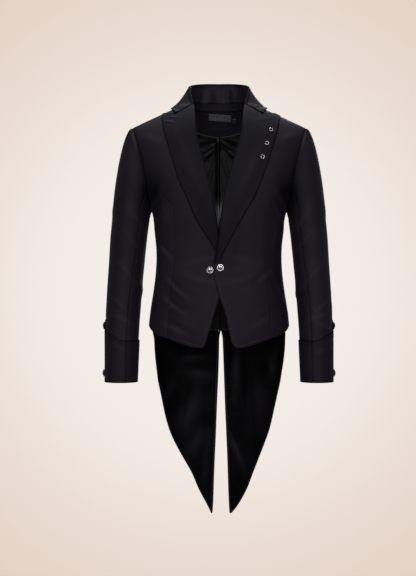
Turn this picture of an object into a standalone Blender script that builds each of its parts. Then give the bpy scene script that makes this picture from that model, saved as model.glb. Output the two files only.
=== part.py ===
"""A tailcoat that keeps its worn shape: cutaway fronts, wide peaked lapels, a standing collar and two tails.

Sizes are in metres. +X is the wearer's left, the coat faces -Y and +Z is up. The origin lies in the middle of
the body, between the shoulders, at the height where the neck meets them.
"""
from bisect import bisect_right
from math import asin, copysign, cos, degrees, exp, pi, radians, sin

import bmesh
import bpy
from mathutils import Vector

# Cloth and gaps
WALL = 0.0018
LAPEL_WALL = 0.0018
LINING_WALL = 0.0010
LABEL_WALL = 0.0008
SEAM = 0.0003
LAPEL_CLEAR = 0.0016
LINING_CLEAR = 0.0020
TAIL_LINING_CLEAR = 0.0012
LABEL_CLEAR = 0.0010
CUFF_CLEAR = 0.0010

# Body: an oval at each height. The power makes it a little squarer than an ellipse.
SQUARE = 0.87
MIDDLE_Y = 0.005
# Columns: height, half_width, front, back, lift
BODY = [
    (-1.080, 0.188, 0.118, 0.122, 0.0),
    (-0.960, 0.187, 0.118, 0.123, 0.0),
    (-0.850, 0.186, 0.118, 0.124, 0.0),
    (-0.750, 0.185, 0.118, 0.124, 0.0),
    (-0.670, 0.184, 0.118, 0.123, 0.0),
    (-0.610, 0.1825, 0.118, 0.121, 0.0),
    (-0.560, 0.1810, 0.116, 0.118, 0.0),
    (-0.510, 0.1755, 0.111, 0.113, 0.0),
    (-0.455, 0.1670, 0.106, 0.105, 0.0),
    (-0.400, 0.1612, 0.103, 0.099, 0.0),
    (-0.350, 0.1615, 0.107, 0.100, 0.0),
    (-0.305, 0.1655, 0.113, 0.107, 0.0),
    (-0.262, 0.1725, 0.117, 0.114, 0.0),
    (-0.215, 0.1920, 0.118, 0.119, 0.10),
    (-0.160, 0.2060, 0.111, 0.120, 0.25),
    (-0.110, 0.2150, 0.095, 0.112, 0.50),
    (-0.080, 0.2190, 0.074, 0.093, 0.75),
    (-0.058, 0.2210, 0.045, 0.060, 0.93),
    (-0.045, 0.2220, 0.000, 0.000, 1.0),
]
TOP_ROW = len(BODY) - 1
SHOULDER_TIP = 0.222
SHOULDER_SLOPE = 0.46
NECK_HALF = 0.080
TIP_TURN = radians(6.0)
TIP_NORMAL = radians(30.0)
RIDGE_ROWS = 0.1

# Armhole: a ring in angle and height, wider in front below the middle
ARMHOLE_TOP = -0.045
ARMHOLE_LOW = -0.262
ARMHOLE_FRONT = radians(29.0)
ARMHOLE_NARROWS = radians(8.5)
ARMHOLE_BACK = radians(24.0)
RING_PARTS = 24
FRONT_PARTS = 7
UNDER_PARTS = 10
LINE_PARTS = 14
FRONT_COLUMNS = 9
BACK_COLUMNS = 8
SEAM_RADIUS = 0.15
CENTRE_RADIUS = 0.10

# Outline tables: x is measured from the middle towards the panel's own side
# Columns: height, left, right
FRONT_EDGE = [
    (-0.6072, 0.0440, 0.0425), (-0.5985, 0.0328, 0.0359), (-0.5560, 0.0230, 0.0236),
    (-0.5161, 0.0135, 0.0118), (-0.4776, -0.0007, 0.0000), (-0.4500, -0.0071, -0.0070),
    (-0.4227, -0.0131, -0.0125), (-0.3949, -0.0126, -0.0120), (-0.3636, -0.0084, -0.0060),
    (-0.3304, -0.0022, 0.0009), (-0.3006, 0.0003, 0.0047), (-0.2262, 0.0110, 0.0171),
    (-0.1332, 0.0359, 0.0415), (-0.0708, 0.0531, 0.0565), (-0.0210, 0.0587, 0.0610),
    (0.0080, 0.0630, 0.0640),
]
LAPEL_EDGE = [
    (-0.3870, 0.0032, 0.0025), (-0.3747, 0.0070, 0.0060), (-0.3400, 0.0245, 0.0240), (-0.2880, 0.0530, 0.0565),
    (-0.2340, 0.0850, 0.0800), (-0.1885, 0.1046, 0.1006), (-0.1161, 0.1298, 0.1230),
    (-0.0546, 0.1470, 0.1395), (-0.0185, 0.1555, 0.1467),
]
# Columns: x, height
LAPEL_TOP = [(0.0630, 0.0080), (0.1105, -0.0177), (0.1310, -0.0126), (0.1400, -0.0105)]
PANEL_LINE = [
    (0.1300, -0.5825), (0.1294, -0.5445), (0.1260, -0.4770), (0.1157, -0.4145), (0.1137, -0.3744),
    (0.1142, -0.2894), (0.1257, -0.2418),
]
# Columns: angle, height
HEM = [(14.0, -0.6072), (43.0, -0.5838), (65.0, -0.5700), (78.0, -0.5570), (90.0, -0.5520), (101.0, -0.5580),
       (110.0, -0.5715), (111.0, -0.5715), (112.0, -0.5715), (180.0, -0.5715)]
BACK_SEAM_ANGLE = 126.0
BACK_SEAM = [(2.0, -0.40), (7.0, -0.30)]
TAIL_PARTS = 7
# Columns: height, outer_left, outer_right, vent_left, vent_right
TAIL = [
    (-0.5718, 0.1740, 0.1730, 0.0075, -0.0045), (-0.5910, 0.1735, 0.1695, 0.0109, -0.0014),
    (-0.6330, 0.1712, 0.1672, 0.0128, -0.0005), (-0.6980, 0.1625, 0.1603, 0.0150, 0.0015),
    (-0.7400, 0.1542, 0.1522, 0.0165, 0.0035), (-0.7820, 0.1453, 0.1440, 0.0180, 0.0052),
    (-0.8240, 0.1357, 0.1329, 0.0200, 0.0068), (-0.8660, 0.1222, 0.1165, 0.0218, 0.0085),
    (-0.9090, 0.1064, 0.0938, 0.0236, 0.0105), (-0.9510, 0.0905, 0.0705, 0.0250, 0.0122),
    (-0.9930, 0.0746, 0.0528, 0.0262, 0.0136), (-1.0350, 0.0525, 0.0312, 0.0280, 0.0150),
    (-1.0570, 0.0345, 0.0200, 0.0295, 0.0168),
]

# Folds of the cloth: centre, direction in degrees, half length, half width and height of a soft ridge
# Columns: face, x, height, turn, length, width, raise
FOLDS = [
    ("front", -0.108, -0.455, -45.0, 0.045, 0.011, 0.0022),
    ("front", -0.118, -0.500, -42.0, 0.045, 0.012, 0.0020),
    ("front", -0.096, -0.545, -25.0, 0.045, 0.012, 0.0014),
    ("front", -0.070, -0.430, -20.0, 0.060, 0.018, 0.0016),
    ("front", 0.075, -0.425, 18.0, 0.060, 0.018, 0.0016),
    ("front", -0.150, -0.300, 62.0, 0.050, 0.012, 0.0018),
    ("front", 0.150, -0.300, -62.0, 0.050, 0.012, 0.0018),
    ("front", 0.110, -0.520, 55.0, 0.050, 0.014, 0.0014),
    ("back", -0.080, -0.390, 25.0, 0.060, 0.024, 0.0026),
    ("back", 0.080, -0.400, -22.0, 0.060, 0.024, 0.0024),
    ("back", -0.120, -0.210, 65.0, 0.055, 0.022, 0.0022),
    ("back", 0.120, -0.205, -65.0, 0.055, 0.022, 0.0022),
    ("back", -0.105, -0.720, 80.0, 0.120, 0.016, 0.0040),
    ("back", -0.050, -0.800, 92.0, 0.130, 0.015, -0.0030),
    ("back", 0.112, -0.740, 97.0, 0.120, 0.018, 0.0040),
    ("back", 0.060, -0.830, 85.0, 0.130, 0.015, -0.0030),
]

# Where the left front laps over the right one
# Columns: height, left, right
LAP = [(-0.62, 0.0006, -0.0006), (-0.52, 0.0010, -0.0010), (-0.47, 0.0022, -0.0012), (-0.40, 0.0040, -0.0012),
       (-0.365, 0.0072, -0.0014), (-0.33, 0.0072, -0.0014), (-0.30, 0.0052, -0.0010), (-0.25, 0.0012, 0.0),
       (-0.20, 0.0, 0.0)]
EDGE_SET_IN = 0.0045
SET_IN_FROM, SET_IN_TO = -0.402, -0.385
LAP_NEAR = 0.012
LAP_FAR = 0.060

# Sleeve: ovals down the arm
# Columns: height, x, y, half_width, half_depth
SLEEVE = [
    (-0.280, 0.2266, 0.006, 0.0482, 0.070), (-0.330, 0.2324, 0.008, 0.0473, 0.068),
    (-0.385, 0.2370, 0.010, 0.0461, 0.064), (-0.445, 0.2418, 0.008, 0.0452, 0.060),
    (-0.505, 0.2454, 0.002, 0.0446, 0.056), (-0.565, 0.2478, -0.006, 0.0430, 0.052),
    (-0.630, 0.2488, -0.014, 0.0413, 0.049), (-0.696, 0.2498, -0.022, 0.0398, 0.047),
]
SLEEVE_ENDS = -0.6935
SLEEVE_CLEAR = 0.0009
CAP_RINGS = 5
SLEEVE_RINGS = 10
CUFF_RINGS = 5
SEAM_GAP = SEAM / 2 / 0.013
CUFF_TURN_HEIGHT = -0.6
NORMAL_STEP, NORMAL_PART = 0.02, 0.2
# Columns: height, front, back
SLEEVE_SEAM = [(-0.280, 125.0, 238.0), (-0.385, 121.0, 236.0), (-0.477, 113.0, 234.0), (-0.580, 110.5, 232.0),
               (-0.696, 109.0, 231.0)]
SLEEVE_FOLDS = [
    ("left", -0.455, 155.0, 35.0, 0.012, 0.0028), ("left", -0.520, 40.0, 30.0, 0.011, 0.0022),
    ("left", -0.550, 60.0, 26.0, 0.015, 0.0018), ("left", -0.240, 112.0, 25.0, 0.012, 0.0022),
    ("right", -0.455, 155.0, 35.0, 0.012, 0.0028), ("right", -0.530, 45.0, 30.0, 0.011, 0.0020),
    ("right", -0.240, 112.0, 25.0, 0.012, 0.0022),
]
CUFF_ENDS = -0.6960
# Columns: angle, height
CUFF_TOP = [(-180.0, -0.590), (-100.0, -0.590), (-50.0, -0.572), (-12.0, -0.538), (13.0, -0.565),
            (58.0, -0.577), (94.0, -0.590), (180.0, -0.590)]

# Collar: stations from the centre back to the notch; the roll line and the outer edge of the fall
# Columns: roll, edge, sag
COLLAR = [
    ((0.0000, 0.0900, 0.0790), (0.0000, 0.1050, -0.0060), 0.000),
    ((0.0240, 0.0880, 0.0790), (0.0320, 0.1030, -0.0060), 0.000),
    ((0.0450, 0.0800, 0.0772), (0.0640, 0.0950, -0.0050), 0.001),
    ((0.0620, 0.0640, 0.0730), (0.0900, 0.0780, -0.0025), 0.002),
    ((0.0710, 0.0400, 0.0672), (0.1110, 0.0500, 0.0015), 0.004),
    ((0.0745, 0.0140, 0.0585), (0.1225, 0.0140, 0.0050), 0.005),
    ((0.0725, -0.0080, 0.0410), (0.1235, -0.0060, 0.0040), 0.005),
    ((0.0680, -0.0250, 0.0240), (0.1170, -0.0230, -0.0045), 0.003),
    ((0.0642, -0.0395, 0.0094), (0.1110, -0.0390, -0.0160), 0.000),
]
COLLAR_WALL = 0.0020
FOOT_CLEAR = 0.0008
STAND_TOP = 0.78
FALL_CLEAR, FALL_EASE = 0.0006, 0.0018
BAND_TAPERS = 0.8
BAND_SHARE = 0.32
BAND_ENDS = 6.0
# Columns: x, y, height
FRONT_FOOT = [(0.0775, -0.0030, 0.0200), (0.0705, -0.0165, 0.0150), (0.0648, -0.0335, 0.0052)]
FOLD_RADIUS = 0.0028
NAPE_HEIGHT = 0.005
NECK_HOLLOW = 1.5
NECK_PARTS = 5
PLEAT_X, PLEAT_WIDTH, PLEAT_DEPTH = 0.002, 0.0045, 0.0045
PLEAT_ENDS, PLEAT_FULL = -0.30, -0.20
LINING_LOW = -0.5680
LINING_HALF, FACING_HALF = 0.135, 0.100
FACING_LOW = -0.0535
FACING_ENDS = -0.024
LINING_COLUMNS = [0.0, 0.12, 0.24, 0.34, 0.42, 0.46, 0.48, 0.49, 0.50, 0.51, 0.52, 0.54, 0.58, 0.66, 0.76, 0.88,
                  1.0]

# Small parts
EYELETS = [(0.1297, -0.0600), (0.1190, -0.0952), (0.1074, -0.1300)]
EYELET_HOLE = 0.00275
EYELET_RIM = 0.0061
BUTTON_RADIUS = 0.0096
FRONT_BUTTONS = [("left", 0.0025, -0.4059), ("right", 0.0233, -0.4116)]
CUFF_BUTTONS = [("upper", -8.0, -0.5535), ("lower", -5.0, -0.6740)]
LABEL_CENTRE = (0.0033, -0.0058)
LABEL_SIZE = (0.060, 0.0165)
LABEL_TURN = radians(-3.5)
TAB_CENTRE = (0.0412, -0.0140)
TAB_SIZE = (0.0105, 0.0130)
LEFT, RIGHT = 1, -1
SIDE_NAMES = {LEFT: "left", RIGHT: "right"}


def clear_scene():
    """Removes whatever the file holds."""
    for item in list(bpy.data.objects):
        bpy.data.objects.remove(item, do_unlink=True)


def new_material(name, colour, roughness, metallic=0.0):
    """A plain Principled material."""
    made = bpy.data.materials.new(name)
    made.use_nodes = True
    shader = made.node_tree.nodes["Principled BSDF"]
    shader.inputs["Base Color"].default_value = (*colour, 1.0)
    shader.inputs["Roughness"].default_value = roughness
    shader.inputs["Metallic"].default_value = metallic
    return made


def catmull(before, start, end, after, t):
    """One value of a smooth curve through start and end."""
    return 0.5 * (2 * start + (end - before) * t + (2 * before - 5 * start + 4 * end - after) * t * t
                  + (3 * start - before - 3 * end + after) * t ** 3)


def along(points, t):
    """A point of the smooth curve through points, at t counted in points."""
    last = len(points) - 1
    i = min(max(int(t), 0), last - 1)
    start, end = points[i], points[i + 1]
    before = points[i - 1] if i > 0 else tuple(2 * a - b for a, b in zip(start, end))
    after = points[i + 2] if i + 2 <= last else tuple(2 * b - a for a, b in zip(start, end))
    return tuple(catmull(*four, t - i) for four in zip(before, start, end, after))


def look_up(table, value, column):
    """Reads a column of a table, between its rows, at a value of the first column."""
    rows = sorted(table)
    keys = [row[0] for row in rows]
    i = min(max(bisect_right(keys, value) - 1, 0), len(rows) - 2)
    share = min(max((value - keys[i]) / (keys[i + 1] - keys[i]), 0.0), 1.0)
    return along([(row[column],) for row in rows], i + share)[0]


def smooth_step(value, low, high):
    """0 below low, 1 above high and an even change between them."""
    t = min(max((value - low) / (high - low), 0.0), 1.0)
    return t * t * (3 - 2 * t)


# The body's surface

def body_row(row):
    """The body's sizes at a row number; past the shoulder ridge the depths turn over."""
    if row <= TOP_ROW - 1:
        return along(BODY, row)
    below, last = BODY[TOP_ROW - 2:TOP_ROW], BODY[TOP_ROW]
    over = (below[1][0], below[1][1], -below[1][2], -below[1][3], below[1][4])
    t = row - (TOP_ROW - 1)
    return tuple(catmull(*four, t) for four in zip(below[0], below[1], last, over))


def shoulder_rise(x):
    """How far the shoulder ridge stands above the shoulder's tip."""
    x = abs(x)
    if x > NECK_HALF:
        return SHOULDER_SLOPE * (SHOULDER_TIP - x)
    bend = SHOULDER_SLOPE / (2 * NECK_HALF)
    return SHOULDER_SLOPE * (SHOULDER_TIP - NECK_HALF) + bend * (NECK_HALF ** 2 - x * x)


def shoulder_ridge(x):
    """Height of the shoulder ridge at a distance from the middle."""
    return BODY[TOP_ROW][0] + shoulder_rise(x)


def body_point(angle, row):
    """A point of the plain body: angle 0 is the centre front, 90 degrees the wearer's left side."""
    height, half_width, front, back, lift = body_row(row)
    across, ahead = sin(angle), cos(angle)
    x = copysign(half_width * abs(across) ** SQUARE, across)
    depth = front if ahead > 0 else back
    y = MIDDLE_Y - copysign(depth * abs(ahead) ** SQUARE, ahead)
    return Vector((x, y, height + lift * shoulder_rise(x)))


def body_normal(angle, row):
    """The direction out of the body; at the shoulder's tip it is taken a little beside the point."""
    d_angle, d_row = radians(1.0), 0.04
    if row > TOP_ROW - RIDGE_ROWS and abs(angle - pi / 2) < TIP_NORMAL:
        angle = pi / 2 + copysign(TIP_NORMAL, angle - pi / 2)
    low = max(row - d_row, 0.0)
    around = body_point(angle + d_angle, row) - body_point(angle - d_angle, row)
    up = body_point(angle, row + d_row) - body_point(angle, low)
    return around.cross(up).normalized()


def fold_height(point, side):
    """How far the folds of the cloth raise it at a point."""
    face = "front" if point.y < MIDDLE_Y else "back"
    total = 0.0
    for where, x, height, turn, length, width, rise in FOLDS:
        if where != face:
            continue
        dx, dz = side * point.x - x, point.z - height
        run = dx * cos(radians(turn)) + dz * sin(radians(turn))
        off = -dx * sin(radians(turn)) + dz * cos(radians(turn))
        total += rise * exp(-(run / length) ** 2 - (off / width) ** 2)
    return total


def lap_height(point, side):
    """How far a front is moved out where the left one laps over the right one."""
    if point.y > 0.0:
        return 0.0
    near = 1.0 - smooth_step(point.x, LAP_NEAR, LAP_FAR)
    return near * look_up(LAP, min(point.z, LAP[-1][0]), 1 if side == LEFT else 2)


def on_body(side, angle, row, out=0.0):
    """A point of the worn cloth, moved out along the body's normal; the right side mirrors the left."""
    point = body_point(angle, row)
    point += body_normal(angle, row) * (out + fold_height(point, side) + lap_height(point, side))
    return Vector((side * point.x, point.y, point.z))


def row_at(x, height):
    """The row number at which the body has a height, at a distance from the middle."""
    low, high = 0.0, float(TOP_ROW)
    rise = shoulder_rise(x)
    for _ in range(40):
        middle = (low + high) / 2
        sizes = body_row(middle)
        if sizes[0] + sizes[4] * rise < height:
            low = middle
        else:
            high = middle
    return (low + high) / 2


def place(x, height, back=False):
    """Angle and row of the point at a distance from the middle and a height."""
    row = row_at(x, height)
    share = min(abs(x) / body_row(row)[1], 1.0) ** (1 / SQUARE)
    angle = copysign(asin(share), x)
    return (pi - angle if back else angle, row)


# Panels

def path(points, stops=None):
    """A function of 0 to 1 through points; stops gives each point's share of the way."""
    count = len(points)
    if stops is None:
        stops = [0.0]
        for a, b in zip(points, points[1:]):
            stops.append(stops[-1] + (Vector(a) - Vector(b)).length + 1e-9)
        stops = [stop / stops[-1] for stop in stops]

    def read(t):
        i = min(max(bisect_right(stops, t) - 1, 0), count - 2)
        return along(points, i + (t - stops[i]) / (stops[i + 1] - stops[i]))

    return read


def joined(first, second, stop):
    """Two paths, one after the other, that meet at a share of the way."""
    return lambda t: first(t / stop) if t <= stop else second((t - stop) / (1 - stop))


def straight(a, b):
    """The straight path between two places."""
    return lambda t: tuple(p + (q - p) * t for p, q in zip(a, b))


def patch(low, high, near, far, up_stops, across_stops):
    """Places inside four border paths; low and high run from near to far, near and far run from low to high."""
    corners = near(0.0), far(0.0), near(1.0), far(1.0)
    grid = []
    for t in up_stops:
        line = []
        for s in across_stops:
            place_here = []
            for k in (0, 1):
                ruled = (1 - t) * low(s)[k] + t * high(s)[k] + (1 - s) * near(t)[k] + s * far(t)[k]
                corner = ((1 - t) * ((1 - s) * corners[0][k] + s * corners[1][k])
                          + t * ((1 - s) * corners[2][k] + s * corners[3][k]))
                place_here.append(ruled - corner)
            line.append(tuple(place_here))
        grid.append(line)
    return grid


def even(parts):
    """Even shares from 0 to 1."""
    return [i / parts for i in range(parts + 1)]


def sheet(name, outer, inner, ring=False):
    """A closed wall between two grids of points; with ring the last column joins the first."""
    mesh = bmesh.new()
    rows, columns = len(outer), len(outer[0])
    skins = [[[mesh.verts.new(point) for point in line] for line in grid] for grid in (outer, inner)]
    across = columns if ring else columns - 1
    for skin in skins:
        for i in range(rows - 1):
            for j in range(across):
                k = (j + 1) % columns
                mesh.faces.new((skin[i][j], skin[i][k], skin[i + 1][k], skin[i + 1][j]))
    for i in (0, rows - 1):
        for j in range(across):
            k = (j + 1) % columns
            mesh.faces.new((skins[0][i][j], skins[0][i][k], skins[1][i][k], skins[1][i][j]))
    if not ring:
        for j in (0, columns - 1):
            for i in range(rows - 1):
                mesh.faces.new((skins[0][i][j], skins[0][i + 1][j], skins[1][i + 1][j], skins[1][i][j]))
    bmesh.ops.recalc_face_normals(mesh, faces=mesh.faces)
    if mesh.calc_volume(signed=True) < 0.0:
        bmesh.ops.reverse_faces(mesh, faces=mesh.faces)
    data = bpy.data.meshes.new(name)
    mesh.to_mesh(data)
    mesh.free()
    return bpy.data.objects.new(name, data)


def body_sheet(name, side, places, out, wall, extra=None):
    """A wall of cloth over the body, from places, with its outer face moved out."""
    def skin(move):
        return [[on_body(side, angle, row, move + (extra(side, angle, row) if extra else 0.0))
                 for angle, row in line] for line in places]

    return sheet(name, skin(out), skin(out - wall))


def armhole(turn):
    """Place on the armhole's ring: turn 0 is the shoulder's tip, 90 degrees the front."""
    share = (1 + cos(turn)) / 2
    height = ARMHOLE_LOW + (ARMHOLE_TOP - ARMHOLE_LOW) * share
    if sin(turn) > 0:
        angle = pi / 2 - (ARMHOLE_FRONT - ARMHOLE_NARROWS * share) * sin(turn)
    else:
        angle = pi / 2 - ARMHOLE_BACK * sin(turn)
    return (angle, row_at(SHOULDER_TIP, height))


def ring_turn(part):
    """Angle of a part of the armhole's ring."""
    return 2 * pi * part / RING_PARTS


def armhole_path(start, end):
    """Path along the armhole between two parts of its ring."""
    return lambda t: armhole(ring_turn(start + (end - start) * t))


def edge_x(table, side, height):
    """Distance of an outline from the middle at a height."""
    return look_up(table, height, 1 if side == LEFT else 2)


def hem_place(angle):
    """Place on the hem at an angle in degrees."""
    return (radians(angle), row_at(SHOULDER_TIP, look_up(HEM, angle, 1)))


def back_seam():
    """The seam between side body and back, from the hem to the armhole."""
    between = [(radians(BACK_SEAM_ANGLE - less), row_at(SHOULDER_TIP, height)) for less, height in BACK_SEAM]
    return path([hem_place(BACK_SEAM_ANGLE)] + between + [armhole(ring_turn(FRONT_PARTS + UNDER_PARTS))])


def front_set_in(height):
    """How far the panel stays inside the rolled edge of its lapel."""
    return EDGE_SET_IN * smooth_step(height, SET_IN_FROM, SET_IN_TO)


def drop_top(places, toward):
    """Keeps a panel half a seam from the shoulder's ridge; toward is -1 for the front and 1 for the back."""
    lines = []
    for line in places:
        kept = []
        for angle, row in line:
            if row > TOP_ROW - RIDGE_ROWS and toward * (angle - pi / 2) < TIP_TURN:
                angle = pi / 2 + toward * TIP_TURN
            limit = TOP_ROW - SEAM / 2 / (BODY[TOP_ROW - 1][2] * abs(cos(angle)) ** SQUARE + 1e-6)
            kept.append((angle, min(row, limit) if row > TOP_ROW - RIDGE_ROWS else row))
        lines.append(kept)
    return lines


def side_neck():
    """Place where the shoulder seam meets the neck."""
    return place(NECK_HALF, shoulder_ridge(NECK_HALF))


def front_panel(side):
    """The front, from its cut edge to the panel line, the armhole and the shoulder."""
    heights = [row[0] for row in FRONT_EDGE]
    near = path([place(edge_x(FRONT_EDGE, side, h) + front_set_in(h), h) for h in heights] + [side_neck()])
    join = armhole(ring_turn(FRONT_PARTS))
    seam = path([place(x, h) for x, h in PANEL_LINE] + [join])
    parts = LINE_PARTS + FRONT_PARTS
    far = joined(seam, armhole_path(FRONT_PARTS, 0), LINE_PARTS / parts)
    corner, line_foot = near(0.0), seam(0.0)
    low_angles = [degrees(corner[0]) + (degrees(line_foot[0]) - degrees(corner[0])) * t for t in even(4)]
    low = path([corner] + [hem_place(a) for a in low_angles[1:-1]] + [line_foot])
    high = straight(near(1.0), far(1.0))
    places = drop_top(patch(low, high, near, far, even(parts), even(FRONT_COLUMNS)), -1)
    return body_sheet(f"front_{SIDE_NAMES[side]}", side, places, 0.0, WALL)


def part_seams(places, near, far):
    """Moves the border columns of a panel inwards by a seam's gap, as angles."""
    shift = SEAM / SEAM_RADIUS
    return [[(line[0][0] + near * shift, line[0][1])] + line[1:-1] + [(line[-1][0] - far * shift, line[-1][1])]
            for line in places]


def side_panel(side):
    """The side body, from the front's panel line to the back seam."""
    near_line = path([place(x, h) for x, h in PANEL_LINE] + [armhole(ring_turn(FRONT_PARTS))])
    far_line = back_seam()
    foot = degrees(near_line(0.0)[0])
    low = path([near_line(0.0)] + [hem_place(foot + (BACK_SEAM_ANGLE - foot) * t) for t in even(9)[1:]])
    high = armhole_path(FRONT_PARTS, FRONT_PARTS + UNDER_PARTS)
    places = part_seams(patch(low, high, near_line, far_line, even(LINE_PARTS), even(UNDER_PARTS)), 1, 1)
    return body_sheet(f"side_{SIDE_NAMES[side]}", side, places, 0.0, WALL)


def neckline(share):
    """Place on the back neckline: 0 at the shoulder seam, 1 at the nape."""
    x = NECK_HALF * cos(share * pi / 2)
    rise = (shoulder_ridge(NECK_HALF) - NAPE_HEIGHT) * (1 - sin(share * pi / 2)) ** NECK_HOLLOW
    return place(x, min(NAPE_HEIGHT + rise, shoulder_ridge(x)), back=True)


def back_panel(side):
    """Half of the back, from the seam above the tails to the shoulder and the neck."""
    parts = LINE_PARTS + RING_PARTS - FRONT_PARTS - UNDER_PARTS
    near = joined(back_seam(), armhole_path(FRONT_PARTS + UNDER_PARTS, RING_PARTS), LINE_PARTS / parts)
    nape = neckline(1.0)
    centre = straight((pi, hem_place(180.0)[1]), nape)
    far = joined(centre, lambda t: neckline(1.0 - t), 1.0 - NECK_PARTS / parts)
    low, high = straight(near(0.0), far(0.0)), straight(near(1.0), far(1.0))
    places = patch(low, high, near, far, even(parts), even(BACK_COLUMNS))
    middle = pi - SEAM / 2 / CENTRE_RADIUS
    places = [[(min(angle, middle), row) for angle, row in line] for line in part_seams(places, 1, 0)]
    return body_sheet(f"back_{SIDE_NAMES[side]}", side, drop_top(places, 1), 0.0, WALL)


def tail_places(side, inset):
    """Places of one tail, from the seam under the back down to its tip; inset moves the borders inwards."""
    outer_column, vent_column = (1, 3) if side == LEFT else (2, 4)
    first, last = TAIL[0][0] - SEAM, TAIL[-1][0]
    heights = [first, -0.5910, -0.6120] + [-0.640 - 0.0365 * i for i in range(11)] + [-1.0350, last]
    rows = []
    for height in heights:
        outer = look_up(TAIL, height, outer_column)
        vent = look_up(TAIL, height, vent_column)
        kept = min(max(height, last + 2.5 * inset), first - inset)
        far, near = place(outer, kept, back=True), place(vent, kept, back=True)
        line = []
        margin = min(inset / (outer - vent), 0.35)
        for s in even(TAIL_PARTS):
            s = margin + (1 - 2 * margin) * s
            line.append(tuple(p + (q - p) * s for p, q in zip(far, near)))
        rows.append(line)
    return rows


def tail(side):
    """One tail of cloth."""
    return body_sheet(f"tail_{SIDE_NAMES[side]}", side, tail_places(side, 0.0), 0.0, WALL)


def tail_lining(side):
    """The satin inside one tail."""
    out = -WALL - TAIL_LINING_CLEAR
    return body_sheet(f"tail_lining_{SIDE_NAMES[side]}", side, tail_places(side, 0.004), out, LINING_WALL)


def pleat(side, angle, row):
    """The soft pleat down the middle of the back lining, deepest between the shoulders."""
    point = body_point(angle, row)
    x = side * point.x
    fade = smooth_step(point.z, PLEAT_ENDS, PLEAT_FULL)
    return -fade * PLEAT_DEPTH * exp(-((x - PLEAT_X) / PLEAT_WIDTH) ** 2)


def across_back(low_x, high_x, low_heights, high_heights, up_stops, across_stops):
    """Places on the back between two heights, from one side to the other, each height as (middle, ends)."""
    lines = []
    for t in up_stops:
        line = []
        for s in across_stops:
            u = 2 * s - 1
            x = ((1 - t) * low_x + t * high_x) * u
            low = low_heights[0] + (low_heights[1] - low_heights[0]) * u * u
            high = high_heights[0] + (high_heights[1] - high_heights[0]) * u * u
            line.append(place(x, low + (high - low) * t, back=True))
        lines.append(line)
    return lines


def back_lining():
    """The lining behind the chest, down to the tails, with its centre pleat."""
    top = (FACING_LOW - 2 * SEAM, FACING_ENDS - 2 * SEAM)
    places = across_back(LINING_HALF, FACING_HALF, (LINING_LOW, LINING_LOW), top, even(12), LINING_COLUMNS)
    return body_sheet("back_lining", LEFT, places, -WALL - LINING_CLEAR, LINING_WALL, pleat)


def neck_facing():
    """The cloth facing inside the back of the neck."""
    ends = (FACING_LOW, FACING_ENDS)
    low = across_back(FACING_HALF, FACING_HALF, ends, ends, [0.0], LINING_COLUMNS)[0]
    high = []
    for s in LINING_COLUMNS:
        angle, row = neckline(1 - abs(2 * s - 1) * 0.9)
        high.append((angle if s >= 0.5 else 2 * pi - angle, row - 0.02))
    lines = [[tuple(p + (q - p) * t for p, q in zip(a, b)) for a, b in zip(low, high)] for t in even(4)]
    return body_sheet("neck_facing", LEFT, lines, -WALL - LINING_CLEAR, LINING_WALL)


def back_patch(name, centre, size, turn, out):
    """A small flat piece inside the back of the neck."""
    lines = []
    for t in even(2):
        line = []
        for s in even(6):
            along_x, up = (s - 0.5) * size[0], (t - 0.5) * size[1]
            x = centre[0] + along_x * cos(turn) - up * sin(turn)
            line.append(place(x, centre[1] + along_x * sin(turn) + up * cos(turn), back=True))
        lines.append(line)
    return body_sheet(name, LEFT, lines, out, LABEL_WALL)


# Lapels

LAPEL_LIP = [(0.0065, 0.0044, 0.0024), (0.0022, 0.0040, 0.0020), (0.0000, 0.0022, 0.0010),
             (0.0001, -0.0006, -0.0006)]
LIP_INSIDE = (0.0000, 0.0012, 0.0020, 0.0014)
LAPEL_LOW = {LEFT: -0.3860, RIGHT: -0.3640}
LAPEL_SLANT = 0.0080
LAPEL_PARTS = 20
LAPEL_COLUMNS = 7
LAPEL_CROWDS = 1.35
TOP_STOPS = [0.0, 0.55, 0.78, 0.88, 1.0]
ROLL_FULL_AT = 0.35
ROLL_LEAST = 0.55
LIP_SINKS_FROM, LIP_SINKS_TO = 0.05, 0.20
LOW_END_TOP, LOW_END_FLOOR = 0.0026, 0.0014
SOFT_WIDTH = 0.03
LAPEL_PUFF, PUFF_REACH = 0.0012, 0.03
LIP_REACHES, FACE_FROM = 0.28, 0.3


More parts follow.
